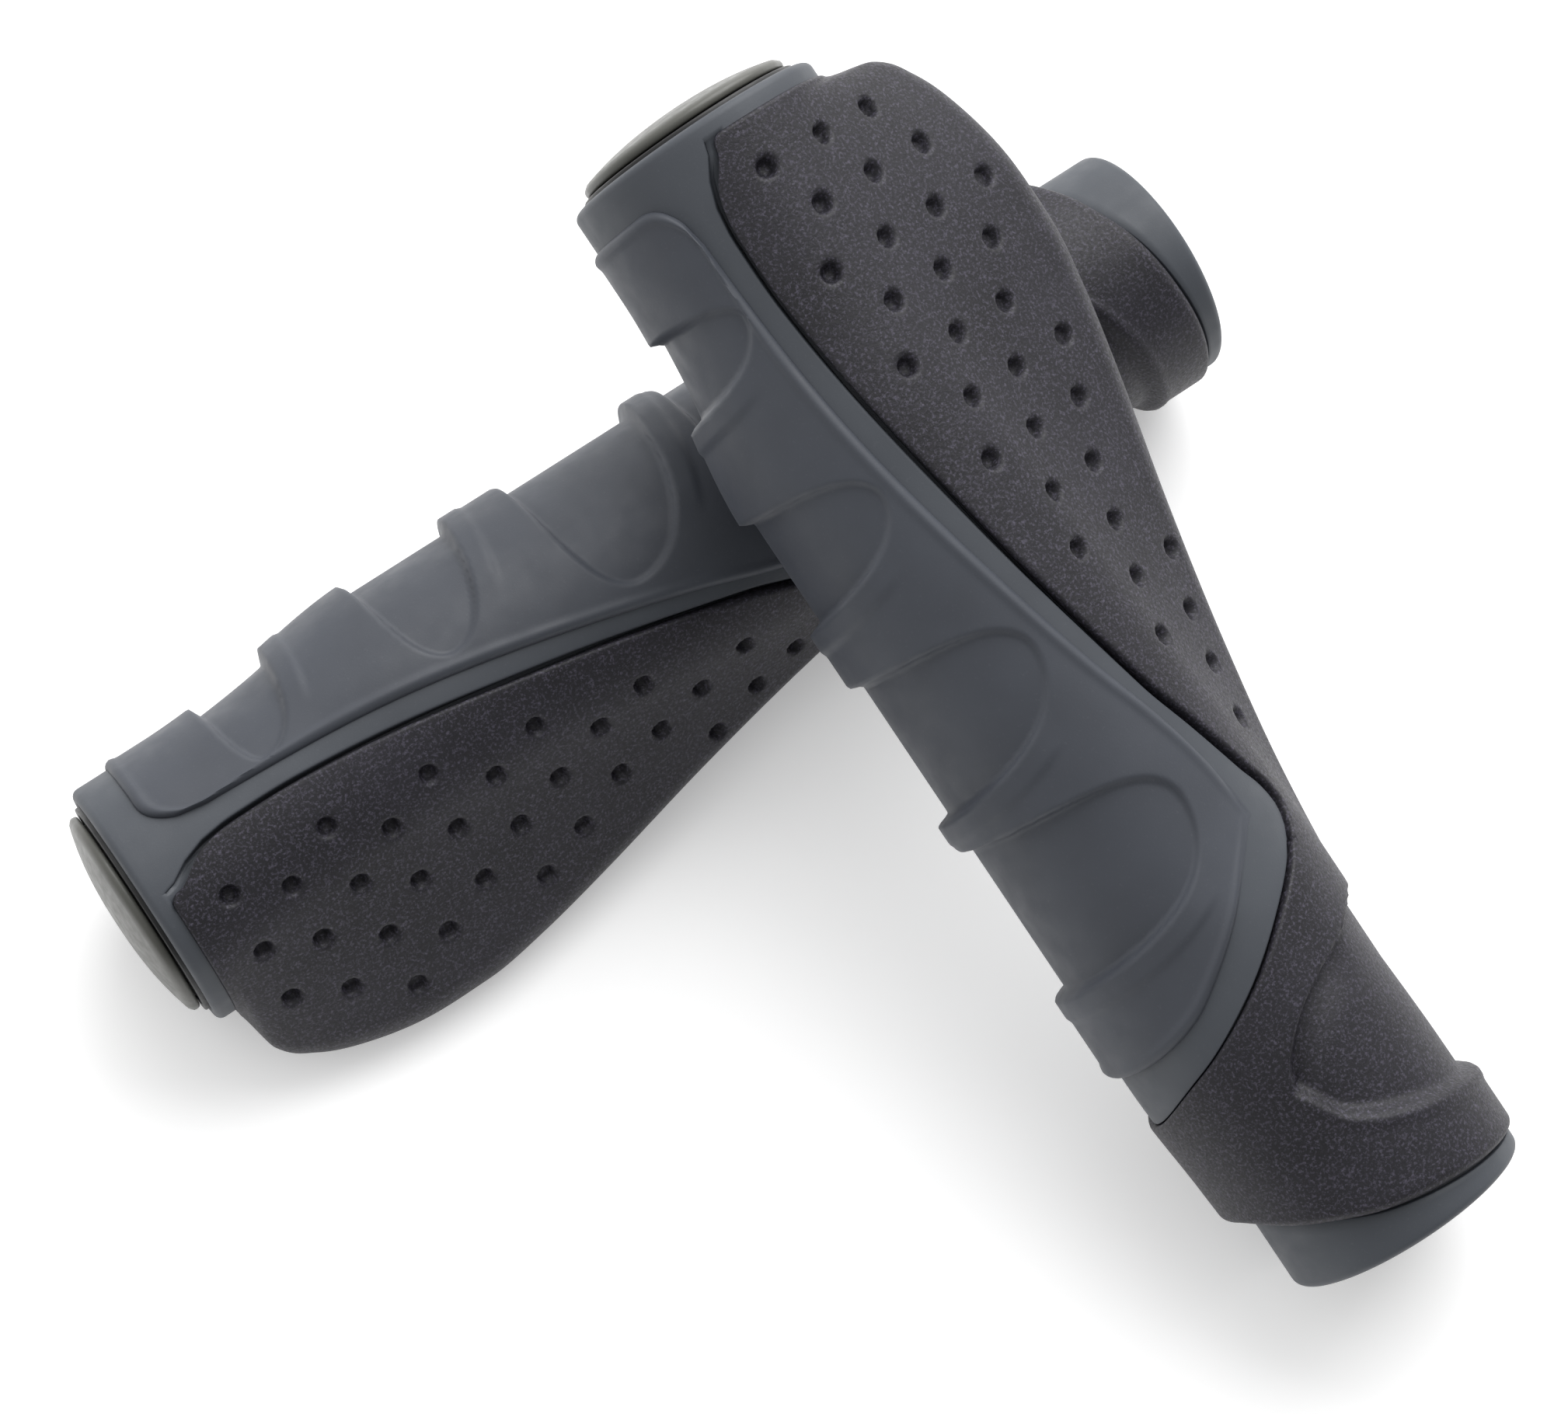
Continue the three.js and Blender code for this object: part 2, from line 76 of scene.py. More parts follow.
# Palm pad, the groove round it and its thumb recess.
PAD_THICKNESS = 1.7
PAD_EDGE_ROUNDING = 0.45
PAD_CORNER_RADIUS = 1.4
STRIP_DROP = 0.6
STRIP_LIP_ROUNDING = 0.3
GROOVE_DEPTH = 2.4
GROOVE_WIDTH = 0.58
BAND_GROOVE_WIDTH = 0.4
THUMB_RECESS_DEPTH = 1.45
THUMB_RECESS_CORNER = 0.8
RECESS_RIDGE = 0.22
RECESS_FIRST_ANGLE = -60
RECESS_LAST_ANGLE = 114
COLLAR_GROOVE_DEPTH = 0.7

# Finger panel, its nose beside the pad, and its scallops.
PANEL_EDGE_ROUNDING = 0.6
PANEL_BEAD = 0.22
PANEL_POCKET = 1.7
NOSE_U, NOSE_ANGLE = 45, 62
NOSE_DEGREE = 0.28
NOSE_LENGTH = 13.0
LAND_HEIGHT = 0.5
SCALLOP_DEPTH = 1.45
SCALLOP_END_DEPTH = 0.55
SCALLOP_WALL = 0.75
LIP_HEIGHT = 0.28
LIP_WIDTH = 3.2
SCALLOP_UNDERSIDE = 240.0
OUTBOARD_DROOP = 20.0

PIT_RADIUS = 1.3
PIT_FLOOR_RADIUS = 0.6
PIT_DEPTH = 1.4
PIT_SPACING = 8.0
PIT_LAST_ANGLE = 11.0

# Gel insert under the wing.
GEL_BELOW_SKIN = 1.95
GEL_FLOOR_R = 13.9
GEL_START, GEL_END, GEL_HALF_ANGLE = 80, 122, 36
GEL_EDGE_ROUNDING = 1.2

# Radii at which degrees round the grip are turned into millimetres.
PANEL_ARC_R, PAD_ARC_R, EDGE_ARC_R, GEL_ARC_R = 14.4, 15.4, 15.6, 18.0

# Where the CAD's screw joint stands along the grip, and how many degrees each wing dips.
SCREW_JOINT_AT = 133.0
WING_DIP = {"left": 28.0, "right": -2.0}


# ---- smooth lines and steps ----
def curve(*points):
    """A smooth line through the given points, flat beyond both ends."""
    x, y = np.array(points, float).T
    slope = np.zeros_like(y)
    rising = (y[1:-1] - y[:-2]) * (y[2:] - y[1:-1]) > 0
    slope[1:-1] = np.where(rising, (y[2:] - y[:-2]) / (x[2:] - x[:-2]), 0)

    def value(at):
        at = np.clip(at, x[0], x[-1])
        i = np.clip(np.searchsorted(x, at, side="right") - 1, 0, len(x) - 2)
        span = x[i + 1] - x[i]
        t = (at - x[i]) / span
        rise = t * t * (3 - 2 * t)
        leave = t * (1 - t) ** 2 * span * slope[i]
        arrive = t * t * (t - 1) * span * slope[i + 1]
        return y[i] + (y[i + 1] - y[i]) * rise + leave + arrive

    return value


def smooth(t):
    c = np.clip(t, 0, 1)
    return c * c * (3 - 2 * c)


def mix(a, b, t):
    return a + (b - a) * t


def degree_length(radius):
    """Length of one degree round the grip at this distance from its axis."""
    return math.radians(radius)


def edge_drop(distance, radius):
    """How far a rounded edge falls away at this distance inside it."""
    into = np.clip(radius - distance, 0, radius)
    return radius - np.sqrt(radius * radius - into * into)


# ---- outlines of one grip ----
# Along the grip: what lies where, as (u, radius in mm or angle in degrees).
WING_REACH = curve(
    (0, 14.1), (30, 14.1), (45, 15.2), (60, 17.6), (75, 20.7), (90, 24.3), (100, 26.4),
    (108, 27.4), (116, 27.2), (123, 25.7), (128, 23.6), (131.4, 20.6), (132.8, 15.4),
)
ROUND_RADIUS = curve((0, 15.3), (14, 15.6), (24, 15.8), (98, 15.8), (114, 15.3), (135, 15.2))
FINGER_LEAN = curve((0, 0.7), (14, 1.1), (28, 1.8), (98, 1.8), (114, 0.5), (126, 0))
PAD_UPPER_EDGE = curve(
    (41, 49), (42.6, 43.2), (44.8, 38.8), (47.4, 41.5), (50.2, 48.3), (57, 60.5), (63, 70.3),
    (77.5, 85.3), (92, 96.4), (104, 103.8), (115, 108.4), (122, 109), (128, 106), (132.8, 97),
)
PAD_LOWER_EDGE = curve((41, -57), (60, -56), (80, -51), (108, -44), (124, -44), (132.8, -50))
PANEL_UPPER_EDGE = curve(
    (29, 62), (44, 62), (52, 66), (60, 75), (68, 85.5), (78, 95.8), (90, 106),
    (101, 113.2), (114, 119), (131, 122),
)
PANEL_LOWER_EDGE = curve((29, 292), (60, 288), (80, 280), (104, 268), (131, 258))
# Round the grip: where each edge lies, as (angle, u).
COLLAR_EDGE = curve(
    (-60, 4.2), (0, 2.6), (40, 2.7), (70, 3.3), (108, 5), (135, 7.2), (173, 9.8),
    (220, 9), (260, 6), (300, 4.2),
)
BAND_EDGE = curve(
    (-57, 41), (49, 41), (59, 39.4), (77, 36.4), (107, 31), (138, 26.6), (185, 22.8), (222, 25),
    (253, 31), (283, 37), (303, 41),
)
PANEL_INBOARD_EDGE = curve(
    (60, 46), (75, 43.5), (97, 38), (113, 34.5), (128, 31.8), (150, 30), (180, 29.5),
    (210, 30.5), (240, 34), (265, 39), (292, 45),
)
PANEL_OUTBOARD_EDGE = curve(
    (121, 124), (124, 127.5), (132, 130), (145, 130.4), (235, 130.4), (248, 130),
    (256, 127.5), (259, 124),
)
RECESS_INBOARD = curve((-60, 9), (20, 9), (49, 10), (78, 12), (101, 15.2), (114, 20))
RECESS_OUTBOARD = curve((-60, 33), (20, 33), (64, 30.4), (90, 27.8), (108, 23.5), (114, 20))

# Finger scallops: u of the inboard side, the crown and the outboard side, then the angle of the
# crown, and how many degrees the arch droops towards its inboard side.
SCALLOPS = (
    (39, 51.6, 58, 86, 35),
    (60.9, 72.6, 78.5, 101.5, 35),
    (85, 93.6, 98.8, 116.5, 35),
    (109.7, 116.3, 119.4, 123.5, 22),
)
# Rows of pits round the pad: u, and the distance of the first pit from the pad's upper edge.
PIT_ROWS = (
    (127.3, 5.9), (121.3, 9.5), (115, 5.9), (109.2, 9.6), (103, 5.9), (96.8, 9.6), (90.6, 5.9),
    (84.3, 9.6), (78.1, 6.4), (72.1, 11), (65.8, 7), (60, 11.6), (53.8, 7.8),
)


# ---- the surfaces of one grip: distance from the axis ----
def wing_angle(angle):
    return np.where(angle > 180, angle - 360, angle)


def wing_section(angle, around, reach):
    """A round of radius `around` joined by two flats to a rounded wing tip."""
    tip = WING_TIP_ROUNDING
    offset = np.maximum(reach, around + 0.01) - tip
    normal = np.arccos(np.clip((around - tip) / offset, -1, 1))
    tip_end = np.arctan2(tip * np.sin(normal), offset + tip * np.cos(normal))
    a = np.radians(np.abs(wing_angle(angle)))
    flat = around / np.cos(np.minimum(a - normal, 0))
    end = offset * np.cos(a) + np.sqrt(np.maximum(tip**2 - (offset * np.sin(a)) ** 2, 0))
    shape = np.where(a >= normal, around, np.where(a >= tip_end, flat, end))
    return np.where(reach <= around + 0.01, around, shape)


def thumb_recess(u, angle):
    """How far the thumb recess lies below the skin; its inboard side is raised to a soft ridge."""
    a = wing_angle(angle)
    from_inboard, from_outboard = u - RECESS_INBOARD(a), RECESS_OUTBOARD(a) - u
    floor = smooth(from_inboard / 1.7) * smooth(from_outboard / 0.9)
    corner = THUMB_RECESS_CORNER * smooth((6 - from_outboard) / 6) * smooth((a - 50) / 25)
    ridge = np.exp(-(((from_inboard + 0.4) / 0.6) ** 2)) * smooth((112 - a) / 6)
    depth = (THUMB_RECESS_DEPTH + corner) * floor - RECESS_RIDGE * ridge
    fade = smooth((a - RECESS_FIRST_ANGLE) / 50)
    return np.where((a < RECESS_LAST_ANGLE) & (a > RECESS_FIRST_ANGLE), depth * fade, 0)


def full_skin(u, angle):
    """The pad's outer skin, and that of the panel's lands, before any edge is rounded."""
    lean = FINGER_LEAN(u) * np.cos(np.radians(angle))
    section = wing_section(angle, ROUND_RADIUS(u), WING_REACH(u) + FINGER_LEAN(u))
    return section - lean - thumb_recess(u, angle)


def inside_gel(u, angle):
    """Distance inside the gel insert's outline, mm."""
    along = np.minimum(u - GEL_START, GEL_END - u)
    return np.minimum(along, (GEL_HALF_ANGLE - np.abs(angle)) * degree_length(GEL_ARC_R))


def under_pad(u, angle):
    """The body's surface where the pad covers it."""
    start = smooth((u - COLLAR_EDGE(angle)) / 5)
    covered = mix(COLLAR_R, full_skin(u, angle) - PAD_THICKNESS, start)
    return np.maximum(covered, RUBBER_BORE_R + 0.5)


def inside_arch(u, angle, scallop):
    """How far a point lies inside the arch of one scallop, mm: measured down from the crown, and
    in from the side where the arch runs steeply."""
    inboard, crown, outboard, top, droop = scallop
    width = np.where(u < crown, crown - inboard, outboard - crown)
    fall = np.where(u < crown, droop, OUTBOARD_DROOP)
    across = np.abs(u - crown) / width
    arc = np.radians(ROUND_RADIUS(u))

    t = np.minimum(across, 0.9)
    flank = 1 - t * t
    outline = top + fall * t * t / np.sqrt(flank)
    slope = fall * t * (2 - t * t) / flank**1.5 / width
    from_crown = arc * (angle - outline) / np.hypot(1, arc * slope)

    q = np.maximum((angle - top) / fall, 0.15)
    half = np.sqrt((np.sqrt(q**4 + 4 * q * q) - q * q) / 2)
    lean = ((q * q + 2) / np.sqrt(q * q + 4) - q) / (2 * half) * width / (fall * arc)
    from_side = (half - across) * width / np.hypot(1, lean)
    return mix(from_crown, from_side, smooth((across - 0.65) / 0.2))


def scallop_relief(u, angle):
    """The scallops, below zero, and the low lip along each one's inboard side, above it."""
    relief = np.zeros_like(u)
    for scallop in SCALLOPS:
        crown, top = scallop[1], scallop[3]
        inside = inside_arch(u, angle, scallop)
        wall = smooth(inside / SCALLOP_WALL + 0.5)
        depth = mix(SCALLOP_END_DEPTH, SCALLOP_DEPTH, smooth((angle - top) / 60))
        beside = smooth((inside + LIP_WIDTH) / 0.9) * (u < crown)
        lip = LIP_HEIGHT * beside * smooth((angle - top - 7) / 14)
        relief = np.where(wall > 0, mix(relief, -depth, wall), relief) + lip * (1 - wall)
    return relief * smooth((SCALLOP_UNDERSIDE - angle) / 25)


def land_height(u, angle):
    across = smooth((angle - 125) / 45) * smooth((SCALLOP_UNDERSIDE - angle) / 25)
    return LAND_HEIGHT * across * smooth((124 - u) / 20)


def inside_panel(u, angle):
    """Distance inside the finger panel's outline, mm."""
    degree = degree_length(PANEL_ARC_R)
    edges = (
        (angle - PANEL_UPPER_EDGE(u)) * degree,
        (PANEL_LOWER_EDGE(u) - angle) * degree,
        u - PANEL_INBOARD_EDGE(angle),
        PANEL_OUTBOARD_EDGE(angle) - u,
    )
    return np.minimum.reduce(edges)


def panel_floor(u, angle):
    """The body's surface on the finger side, with the pocket that the panel sits in."""
    pocket = PANEL_POCKET * smooth((inside_panel(u, angle) - 0.35) / 1.3)
    return full_skin(u, angle) - STRIP_DROP - pocket


def panel_rise(u, angle):
    """0 at the nose, where the panel lies level with the strip, and 1 away from it."""
    from_nose = np.hypot(u - NOSE_U, (angle - NOSE_ANGLE) * NOSE_DEGREE)
    return smooth((from_nose - 1.5) / NOSE_LENGTH)


# ---- points and grids ----
def polar(u, angle, radius):
    a = np.radians(angle)
    u = np.broadcast_to(u, np.shape(radius))
    return np.stack([u, radius * np.cos(a), radius * np.sin(a)], axis=-1)


def normals(points):
    """Outward unit normals of a grid of points; rows run along the grip, columns round it."""
    out = np.cross(np.gradient(points, axis=1), np.gradient(points, axis=0))
    return out / np.linalg.norm(out, axis=-1, keepdims=True)


def lengths(points, axis):
    """Running length along one direction of a grid of points."""
    step = np.linalg.norm(np.diff(points, axis=axis), axis=-1)
    return np.insert(np.cumsum(step, axis=axis), 0, 0, axis=axis)


EDGE_LINES = (0, 0.05, 0.14, 0.27, 0.42)


def spread(length, count):
    """count + 1 places from 0 to 1, crowded at both ends, where a rounded edge needs them."""
    near = np.array(EDGE_LINES)
    middle = np.linspace(near[-1], length - near[-1], count + 3 - 2 * len(near))
    return np.concatenate([near[:-1], middle, (length - near[:-1])[::-1]]) / length


def shell(outer, inner, cells, step, wraps):
    """A closed skin over a grid: every line outside, every step-th line inside, and a wall
    along each open edge. cells says which coarse cells are filled."""
    rows, columns = outer.shape[:2]

    def number(i, j):
        return i * columns + (j % columns if wraps else j)

    fine = np.argwhere(np.repeat(np.repeat(cells, step, 0), step, 1))
    i, j = fine[:, 0], fine[:, 1]
    quads = np.stack(
        [number(i, j), number(i, j + 1), number(i + 1, j + 1), number(i + 1, j)], axis=1
    )
    faces = quads.tolist()
    below = rows * columns
    edges = {}
    for a, b in np.argwhere(cells) * step:
        ring = [(a, b), (a, b + step), (a + step, b + step), (a + step, b)]
        faces.append([int(below + number(*corner)) for corner in ring[::-1]])
        for start, end in zip(ring, ring[1:] + ring[:1]):
            key = (number(*start), number(*end))
            if edges.pop(key[::-1], None) is None:
                edges[key] = (start, end)
    for start, end in edges.values():
        chain = [
            number(*(np.array(start) + (np.array(end) - start) * k // step))
            for k in range(step + 1)
        ]
        faces.append([int(n) for n in [below + chain[0], below + chain[-1], *chain[::-1]]])
    return compact(np.concatenate([outer.reshape(-1, 3), inner.reshape(-1, 3)]), faces)


def compact(vertices, faces):
    """The same mesh without its unused vertices."""
    flat = np.concatenate([np.array(f) for f in faces])
    used, place = np.unique(flat, return_inverse=True)
    numbered = np.split(place, np.cumsum([len(f) for f in faces])[:-1])
    return vertices[used], [f.tolist() for f in numbered]


def volume(vertices, faces):
    total = 0.0
    for face in faces:
        corners = vertices[face]
        fan = np.cross(corners[1:-1], corners[2:])
        total += float((fan @ corners[0]).sum())
    return total / 6


def facing_out(vertices, faces):
    if volume(vertices, faces) < 0:
        faces = [face[::-1] for face in faces]
    return vertices, faces


# ---- the palm pad ----
PAD_STEP = 4
LOBE_COLUMNS = 176
FINGER_COLUMNS = 160
BAND_ROWS = 88
BAND_LENGTH = 24
LOBE_ROWS = 288


def lobe_shares():
    """Places of the lobe's columns between its lower and upper edges, even along the skin."""
    low, high = PAD_LOWER_EDGE(LOBE_WIDEST), PAD_UPPER_EDGE(LOBE_WIDEST)
    angle = np.linspace(low, high, 600)
    u = np.full_like(angle, LOBE_WIDEST)
    run = lengths(polar(u, angle, full_skin(u, angle)), 0)
    places = spread(run[-1], LOBE_COLUMNS) * run[-1]
    return (np.interp(places, run, angle) - low) / (high - low)


def lobe_places():
    """Places of the lobe's rows along the grip, even along the wing tip."""
    u = np.linspace(LOBE_START, PAD_OUTBOARD_END, 900)
    run = lengths(np.stack([u, WING_REACH(u)], axis=-1), 0)
    places = spread(run[-1], LOBE_ROWS) * run[-1]
    return (np.interp(places, run, u) - LOBE_START) / (PAD_OUTBOARD_END - LOBE_START)


def pad_angles(u):
    """Angles of the pad's columns at each u: across the lobe, then round the finger side."""
    low, high = PAD_LOWER_EDGE(u)[:, None], PAD_UPPER_EDGE(u)[:, None]
    lobe = mix(low, high, lobe_shares())
    finger = mix(high, low + 360, np.arange(1, FINGER_COLUMNS) / FINGER_COLUMNS)
    return np.concatenate([lobe, finger], axis=1)


def pad_end(u, from_edge):
    """Where the pad's outboard end lies: its two corners are rounded in plan."""
    corner = edge_drop(from_edge, PAD_CORNER_RADIUS) * smooth((u - 122) / 10)
    return u - corner


def pad_grid():
    at_band = pad_angles(np.array([LOBE_START]))
    band_end = BAND_EDGE(at_band)
    across_band = spread(BAND_LENGTH, BAND_ROWS)[:, None]
    band_u = mix(COLLAR_EDGE(at_band), band_end, across_band)
    band_angle = np.repeat(at_band, BAND_ROWS + 1, axis=0)
    lobe_u = mix(band_end, PAD_OUTBOARD_END, lobe_places()[1:, None])
    lobe_angle = pad_angles(lobe_u[:, 0])
    degree = degree_length(PAD_ARC_R)
    from_high = np.abs(wing_angle(lobe_angle) - PAD_UPPER_EDGE(lobe_u)) * degree
    from_low = np.abs(wing_angle(lobe_angle) - PAD_LOWER_EDGE(lobe_u)) * degree
    lobe_u = pad_end(lobe_u, np.minimum(from_high, from_low))
    return np.vstack([band_u, lobe_u]), np.vstack([band_angle, lobe_angle])


def pit_centres():
    """Middle and outward direction of every pit, on the pad's skin."""
    spots = []
    for place, first in PIT_ROWS:
        angle = np.linspace(PAD_UPPER_EDGE(place), PIT_LAST_ANGLE, 500)
        u = np.full_like(angle, place)
        points = polar(u, angle, full_skin(u, angle))
        run = lengths(points, 0)
        for distance in np.arange(first, run[-1], PIT_SPACING):
            at = float(np.interp(distance, run, angle))
            near_u = np.array([[place - 0.2] * 2, [place + 0.2] * 2])
            near_angle = np.array([[at - 0.5, at + 0.5]] * 2)
            patch = polar(near_u, near_angle, full_skin(near_u, near_angle))
            spots.append((patch.mean(axis=(0, 1)), normals(patch).mean(axis=(0, 1))))
    return spots


def press_pits(points):
    for centre, out in pit_centres():
        away = points - centre
        reach = np.linalg.norm(away - (away @ out)[..., None] * out, axis=-1)
        near = (np.linalg.norm(away, axis=-1) < 3) & (reach < PIT_RADIUS)
        wall = (PIT_RADIUS - reach) / (PIT_RADIUS - PIT_FLOOR_RADIUS)
        share = np.where(near, smooth(wall), 0)
        points = points - share[..., None] * PIT_DEPTH * out
    return points


def palm_pad():
    u, angle = pad_grid()
    points = polar(u, angle, full_skin(u, angle))
    out = normals(points)
    columns = points.shape[1]
    across = lengths(points[:, : LOBE_COLUMNS + 1], 1)
    from_low = np.zeros((len(points), columns))
    from_high = from_low.copy()
    from_low[:, : LOBE_COLUMNS + 1] = across
    from_high[:, : LOBE_COLUMNS + 1] = across[:, -1:] - across
    along = lengths(points, 0)
    before_band_end = np.maximum(along[BAND_ROWS] - along, 0)
    edge = np.minimum.reduce([
        np.hypot(from_low, before_band_end),
        np.hypot(from_high, before_band_end),
        along[-1] - along,
    ])
    collar_rounding = np.clip(full_skin(u[0], angle[0]) - COLLAR_R - 0.25, 0.4, 1.2)
    drop = np.maximum(edge_drop(edge, PAD_EDGE_ROUNDING), edge_drop(along, collar_rounding))
    points = press_pits(points) - out * drop[..., None]
    inner = polar(u, angle, under_pad(u, angle) + 0.06)
    cells = np.zeros(((BAND_ROWS + LOBE_ROWS) // PAD_STEP, columns // PAD_STEP), bool)
    cells[: BAND_ROWS // PAD_STEP] = True
    cells[:, : LOBE_COLUMNS // PAD_STEP] = True
    return shell(points, inner, cells, PAD_STEP, wraps=True)


# ---- the finger panel ----
PANEL_ROWS = 300
PANEL_COLUMNS = 196
PANEL_STEP = 4
PANEL_START, PANEL_END = 30, 130
PANEL_GIRTH = 52


def panel_grid():
    """Rows bend to follow the panel's two ends, most strongly beside them."""
    along = spread(PANEL_END - PANEL_START, PANEL_ROWS)[:, None]
    round_it = spread(PANEL_GIRTH, PANEL_COLUMNS)[None, :]
    straight = mix(PANEL_START, PANEL_END, along) + 0 * round_it
    u = straight
    for _ in range(9):
        angle = mix(PANEL_UPPER_EDGE(u), PANEL_LOWER_EDGE(u), round_it)
        inboard_bend = (PANEL_INBOARD_EDGE(angle) - PANEL_START) * (1 - along) ** 3
        outboard_bend = (PANEL_OUTBOARD_EDGE(angle) - PANEL_END) * along**8
        u = straight + inboard_bend + outboard_bend
    return u, angle


def finger_panel():
    u, angle = panel_grid()
    rise = panel_rise(u, angle)
    top = full_skin(u, angle) - STRIP_DROP * (1 - rise)
    top = top + land_height(u, angle) + scallop_relief(u, angle)
    across, along = lengths(polar(u, angle, top), 1), lengths(polar(u, angle, top), 0)
    edge = np.minimum.reduce([across, across[:, -1:] - across, along, along[-1:] - along])
    bead = PANEL_BEAD * np.exp(-(((edge - 0.85) / 0.5) ** 2))
    drop = edge_drop(edge, PANEL_EDGE_ROUNDING) - bead
    floor = panel_floor(u, angle) + 0.07
    top = np.maximum(top - drop * mix(0.35, 1, rise), floor + 0.02)
    cells = np.ones((PANEL_ROWS // PANEL_STEP, PANEL_COLUMNS // PANEL_STEP), bool)
    return shell(polar(u, angle, top), polar(u, angle, floor), cells, PANEL_STEP, wraps=False)


# ---- the rubber body ----
LOBE_LINES, STRIP_LINES, PANEL_FIELD_LINES, LOWER_STRIP_LINES = 57, 9, 61, 7
GROOVE_LINES = (0.04, 0.1, 0.9, 0.97, 1.03, 1.15, 1.35, 1.7)
PANEL_LINES = (0.0, 0.3, 0.7, 1.3)
BAND_RINGS, STRIP_RINGS, POCKET_RINGS = 9, 5, 93
RIM_SHARES = (0.3, 0.6, 0.85, 0.99)
SETTLING_ROUNDS = 6
ROUNDING_TURNS = np.radians(np.linspace(0, 90, 7))


def groove_width(angle):
    """Width of the groove round the pad: it dies away towards the finger side of the band."""
    a = np.abs(wing_angle(angle))
    return mix(BAND_GROOVE_WIDTH, 0.16, smooth((a - 75) / 70))


def edge_slant(u):
    """Distance along the skin, round the grip, per distance square to the pad's slanting edge."""
    return 1.0 + 0.35 * smooth((u - 44) / 6) * smooth((72 - u) / 20)


def body_angles(u):
    """Angles of the body's columns at each u, with lines along the pad's and panel's edges."""
    low, high = PAD_LOWER_EDGE(u), PAD_UPPER_EDGE(u)
    upper, lower = PANEL_UPPER_EDGE(u), PANEL_LOWER_EDGE(u)
    per_mm = 1 / degree_length(EDGE_ARC_R)
    lines = [mix(low, high, t) for t in np.linspace(0, 1, LOBE_LINES)]
    for offset in GROOVE_LINES:
        lines.append(high + offset * GROOVE_WIDTH * per_mm * edge_slant(u))
    start = lines[-1]
    lines += [mix(start, upper, t) for t in np.linspace(0, 1, STRIP_LINES)[1:-1]]
    lines += [upper + offset * per_mm for offset in PANEL_LINES]
    first, last = lines[-1], lower - PANEL_LINES[-1] * per_mm
    lines += [mix(first, last, t) for t in np.linspace(0, 1, PANEL_FIELD_LINES)[1:-1]]
    lines += [lower - offset * per_mm for offset in PANEL_LINES[::-1]]
    end = low + 360 - GROOVE_LINES[-1] * GROOVE_WIDTH * per_mm
    lines += [mix(lower, end, t) for t in np.linspace(0, 1, LOWER_STRIP_LINES)[1:]]
    for offset in GROOVE_LINES[-2::-1]:
        lines.append(low + 360 - offset * GROOVE_WIDTH * per_mm)
    return np.stack(lines, axis=-1)


def body_lines(angle, band, width):
    """u of every ring of the body outboard of the band: along the groove, over the strip, across
    the panel's pocket with lines beside its two ends, and on to the pad's outboard end."""
    inboard, outboard = PANEL_INBOARD_EDGE(angle), PANEL_OUTBOARD_EDGE(angle)
    groove = [band + offset * width for offset in GROOVE_LINES]
    strip = [mix(groove[-1], inboard, t) for t in np.linspace(0, 1, STRIP_RINGS)[1:-1]]
    pocket_start = [inboard + offset for offset in PANEL_LINES]
    pocket_end = [outboard - offset for offset in PANEL_LINES[::-1]]
    pocket = [
        mix(pocket_start[-1], pocket_end[0], t) for t in np.linspace(0, 1, POCKET_RINGS)[1:-1]
    ]
    rim = [mix(outboard, PAD_OUTBOARD_END, t) for t in RIM_SHARES]
    return groove + strip + pocket_start + pocket + pocket_end + rim


def body_grid():
    """u and angle of the body's outer grid, from the collar's edge to the pad's outboard end.
    Angles depend on u and u on the angles, so a few rounds settle each ring."""
    angle = body_angles(np.full(1, LOBE_START))[0]
    for _ in range(SETTLING_ROUNDS):
        angle = np.diagonal(body_angles(BAND_EDGE(angle)))
    band, width = BAND_EDGE(angle), groove_width(angle)
    rows_u = [mix(COLLAR_EDGE(angle), band, t) for t in np.linspace(0, 1, BAND_RINGS)]
    rows_angle = [angle] * len(rows_u)
    for line in range(len(body_lines(angle, band, width))):
        for _ in range(SETTLING_ROUNDS):
            u = body_lines(angle, band, width)[line]
            angle = np.diagonal(body_angles(u))
        rows_u.append(u)
        rows_angle.append(angle)
    return np.array(rows_u), np.array(rows_angle)


def beyond_pad(u, angle):
    """Distance outside the pad's outline, in groove widths: 0 under the pad, 1 at the lip."""
    a = wing_angle(angle)
    degree = degree_length(EDGE_ARC_R)
    above = (a - PAD_UPPER_EDGE(u)) * degree / edge_slant(u)
    below = (PAD_LOWER_EDGE(u) + 360 - angle) * degree / edge_slant(u)
    sideways = np.where(a > 0, above, np.where(angle > 180, below, -1)) / GROOVE_WIDTH
    along = (u - BAND_EDGE(angle)) / groove_width(angle)
    return np.minimum(sideways, along)


def body_level(u, angle):
    """The body's outer surface: low under the pad, lowest in the groove, and up on the strip."""
    beyond = beyond_pad(u, angle)
    strip = panel_floor(u, angle)
    lip = edge_drop((beyond - 0.97) * 0.8, STRIP_LIP_ROUNDING)
    level = np.where(beyond > 0.96, strip - lip, under_pad(u, angle))
    depth = mix(GROOVE_DEPTH, STRIP_DROP + 0.3, smooth((u - 128) / 3))
    in_groove = (beyond > 0.07) & (beyond < 0.94)
    level = np.where(in_groove, full_skin(u, angle) - depth, level)
    at_corner = smooth((u - 130) / 1.5) * smooth(beyond * GROOVE_WIDTH / 0.6 + 3)
    return np.where(beyond < 0.96, mix(level, strip - 0.15, at_corner), level)


def grip_body():
    u, angle = body_grid()
    level = body_level(u, angle)
    over_gel = smooth((inside_gel(u, wing_angle(angle)) + 1.0) / 0.8)
    level = mix(level, np.minimum(level, GEL_FLOOR_R - 0.1), over_gel)
    level = np.maximum(level, RUBBER_BORE_R + 0.4)
    return close_body(polar(u, angle, level), angle[0])


